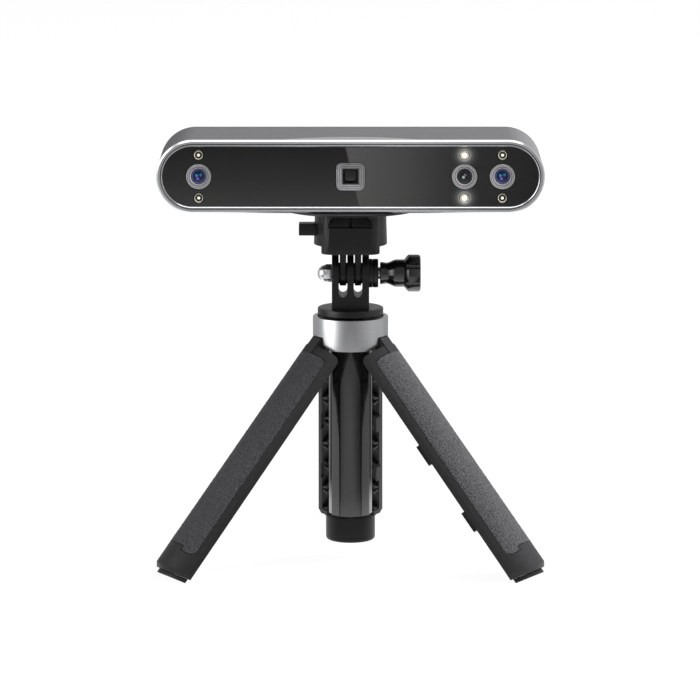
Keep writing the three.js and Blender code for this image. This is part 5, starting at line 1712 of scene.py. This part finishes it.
class SCANNER_OT_stage(Operator):
    """Sets the pale floor, what gloss mirrors, the soft lights and the camera"""

    bl_idname = "scanner.stage"
    bl_label = "Stage"

    def execute(self, context):
        stage = context.scene.scanner_stage
        context.scene.view_settings.view_transform = "Standard"
        target = Vector((0, COLUMN.y, COLUMN.z - stage.target_drop))
        self.camera(context, stage, target)
        self.floor()
        self.card()
        self.world(context, stage)
        self.light("left_light", stage.key, (1.1, 1.5), (-1.5, -0.5, 0.75), target)
        self.light("right_light", stage.fill, (2, 2), (1.85, 0.2, 0.8), target)
        self.light("top_light", stage.top, (1.6, 1.2), (0, -0.2, 1.6), target)
        return {"FINISHED"}

    def camera(self, context, stage, target):
        """The camera, at the photo's angle over the target."""
        deselect()
        back = Vector((0, -math.cos(stage.pitch), math.sin(stage.pitch)))
        place = target + stage.distance * back
        turn = (-back).to_track_quat("-Z", "Y").to_euler()
        bpy.ops.object.camera_add(location=place, rotation=turn)
        camera = context.object
        camera.data.lens = stage.lens
        camera.data.shift_x = stage.shift
        context.scene.camera = camera

    def light(self, name, watts, size, place, target):
        """A soft light that faces the target."""
        deselect()
        turn = (Vector(target) - Vector(place)).to_track_quat("-Z", "Y").to_euler()
        bpy.ops.object.light_add(type="AREA", location=place, rotation=turn)
        light = bpy.context.object
        light.name = light.data.name = name
        light.data.shape = "RECTANGLE"
        light.data.size, light.data.size_y = size
        light.data.energy = watts
        light.visible_glossy = name != "right_light"

    def floor(self):
        """A pale floor; glossy surfaces mirror a pattern in its place."""
        deselect()
        bpy.ops.mesh.primitive_plane_add(size=14)
        floor = bpy.context.object
        floor.name = "floor"
        material = bpy.data.materials.new("floor")
        material.use_nodes = True
        tree = material.node_tree
        output = tree.nodes["Material Output"]
        shader = shader_of(material)
        shader.inputs["Base Color"].default_value = rgba(0.65)
        shader.inputs["Roughness"].default_value = 0.9
        shader.inputs["Specular IOR Level"].default_value = 0
        rays = node_of(tree, "ShaderNodeLightPath").outputs
        white_share, white_level = 0.88, 1.08
        share = worked(tree, "MULTIPLY", plain_view(tree, rays), white_share)
        white = node_of(tree, "ShaderNodeEmission", {"Color": rgba(1), "Strength": white_level})
        seen = mixed(tree, share, shader.outputs[0], white.outputs[0])
        place = node_of(tree, "ShaderNodeTexCoord").outputs["Object"]
        reach = node_of(tree, "ShaderNodeVectorMath", {0: place}, operation="LENGTH").outputs["Value"]
        near = ramp_of(tree, reach, (0.4, 1), (0.5, 0))
        under = ramp_of(tree, reach, (0.1, 1), (0.15, 0))
        stops = (
            (0, 0.9), (0.04, 0.9), (0.07, 0.08), (0.2, 0.08), (0.27, 0.75),
            (0.7, 0.75), (0.77, 0.08), (0.9, 0.08), (0.96, 0.6),
        )
        across = mapped(tree, direction_parts(tree, place)["X"], low=-1)
        close = blended(tree, under, ramp_of(tree, across, *stops), rgba(1.3))
        level = blended(tree, near, surroundings(tree, place), close)
        pattern = node_of(tree, "ShaderNodeEmission", {"Color": level}).outputs[0]
        both = mixed(tree, rays["Is Glossy Ray"], seen, pattern)
        tree.links.new(both, output.inputs["Surface"])
        floor.data.materials.append(material)

    def card(self):
        """A card in front, seen only in the front glass, that parts its reflection along a slant."""
        deselect()
        stretch = 1.3
        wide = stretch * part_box("front_glass")[1].x
        foot, rise, ahead = 0.07, 0.0315, 0.58
        turn = (TURN / 4, 0, 0)
        place = (0, -ahead, foot + rise / 2)
        bpy.ops.mesh.primitive_plane_add(size=1, location=place, rotation=turn)
        card = bpy.context.object
        card.scale = (2 * wide, rise, 1)
        settle(card)
        card.name = "glass_card"
        card.visible_camera = card.visible_diffuse = card.visible_shadow = False
        card.visible_transmission = False
        material = bpy.data.materials.new("glass_card")
        material.use_nodes = True
        tree = material.node_tree
        tree.nodes.clear()
        coords = node_of(tree, "ShaderNodeTexCoord").outputs["Object"]
        axes = node_of(tree, "ShaderNodeSeparateXYZ", {"Vector": coords}).outputs
        along = mapped(tree, axes["X"], 0, wide)
        up = mapped(tree, axes["Z"], foot, foot + rise)
        right = ramp_of(tree, along, (0, 1.9), (0.3, 1.3), (0.55, 0.6), (1, 0.3))
        left = ramp_of(tree, up, (0, 0.9), (0.5, 0.5), (1, 0.25))
        edge = mapped(tree, up, new_low=4.6 * MM, new_high=-2.6 * MM)
        side = worked(tree, "GREATER_THAN", axes["X"], edge)
        light = node_of(tree, "ShaderNodeEmission", {"Color": blended(tree, side, left, right)})
        node_of(tree, "ShaderNodeOutputMaterial", {"Surface": light.outputs["Emission"]})
        card.data.materials.append(material)

    def world(self, context, stage):
        """White to the eye, dim as a light, and patterned in what is mirrored."""
        world = bpy.data.worlds.new("studio")
        context.scene.world = world
        world.use_nodes = True
        tree = world.node_tree
        tree.nodes.clear()
        rays = node_of(tree, "ShaderNodeLightPath").outputs
        dim, bright = backdrop(tree, rgba(1), stage.ambient), backdrop(tree, rgba(1))
        direction = node_of(tree, "ShaderNodeTexCoord").outputs["Generated"]
        pattern = backdrop(tree, surroundings(tree, direction))
        plain = mixed(tree, plain_view(tree, rays), dim, bright)
        both = mixed(tree, rays["Is Glossy Ray"], plain, pattern)
        node_of(tree, "ShaderNodeOutputWorld", {"Surface": both})


class SCANNER_PT_build(Panel):
    """Lists the scanner's pieces in the sidebar"""

    bl_idname = "SCANNER_PT_build"
    bl_label = "Depth scanner"
    bl_space_type = "VIEW_3D"
    bl_region_type = "UI"
    bl_category = "Scanner"

    def draw(self, context):
        for step in STEPS:
            self.layout.operator(step.bl_idname)
        for name in GROUPS:
            group = getattr(context.scene, name)
            box = self.layout.box()
            for field in group.bl_rna.properties.keys():
                if field not in ("rna_type", "name"):
                    box.prop(group, field)


STEPS = (
    SCANNER_OT_stage,
    SCANNER_OT_housing,
    SCANNER_OT_bezel,
    SCANNER_OT_glass,
    SCANNER_OT_cameras,
    SCANNER_OT_lamps,
    SCANNER_OT_projector,
    SCANNER_OT_rear,
    SCANNER_OT_plate,
    SCANNER_OT_clamp,
    SCANNER_OT_tilt_base,
    SCANNER_OT_thumbscrew,
    SCANNER_OT_collar,
    SCANNER_OT_column,
    SCANNER_OT_legs,
    SCANNER_OT_inside,
)
GROUPS = {
    "scanner_head": ScannerHeadSizes,
    "scanner_optics": ScannerOpticsSizes,
    "scanner_clamp": ScannerClampSizes,
    "scanner_leg": ScannerLegSizes,
    "scanner_colours": ScannerColours,
    "scanner_stage": ScannerStage,
}


def register():
    """Adds the classes and the scene's groups of sizes and colours."""
    for kind in (*GROUPS.values(), *STEPS, SCANNER_PT_build):
        bpy.utils.register_class(kind)
    for name, group in GROUPS.items():
        setattr(bpy.types.Scene, name, PointerProperty(type=group))


def unregister():
    """Takes away what register added."""
    for name in GROUPS:
        delattr(bpy.types.Scene, name)
    for kind in reversed((*GROUPS.values(), *STEPS, SCANNER_PT_build)):
        bpy.utils.unregister_class(kind)


def main():
    """Runs every step."""
    register()
    for step in STEPS:
        group, name = step.bl_idname.split(".")
        getattr(getattr(bpy.ops, group), name)()


if __name__ == "__main__":
    main()
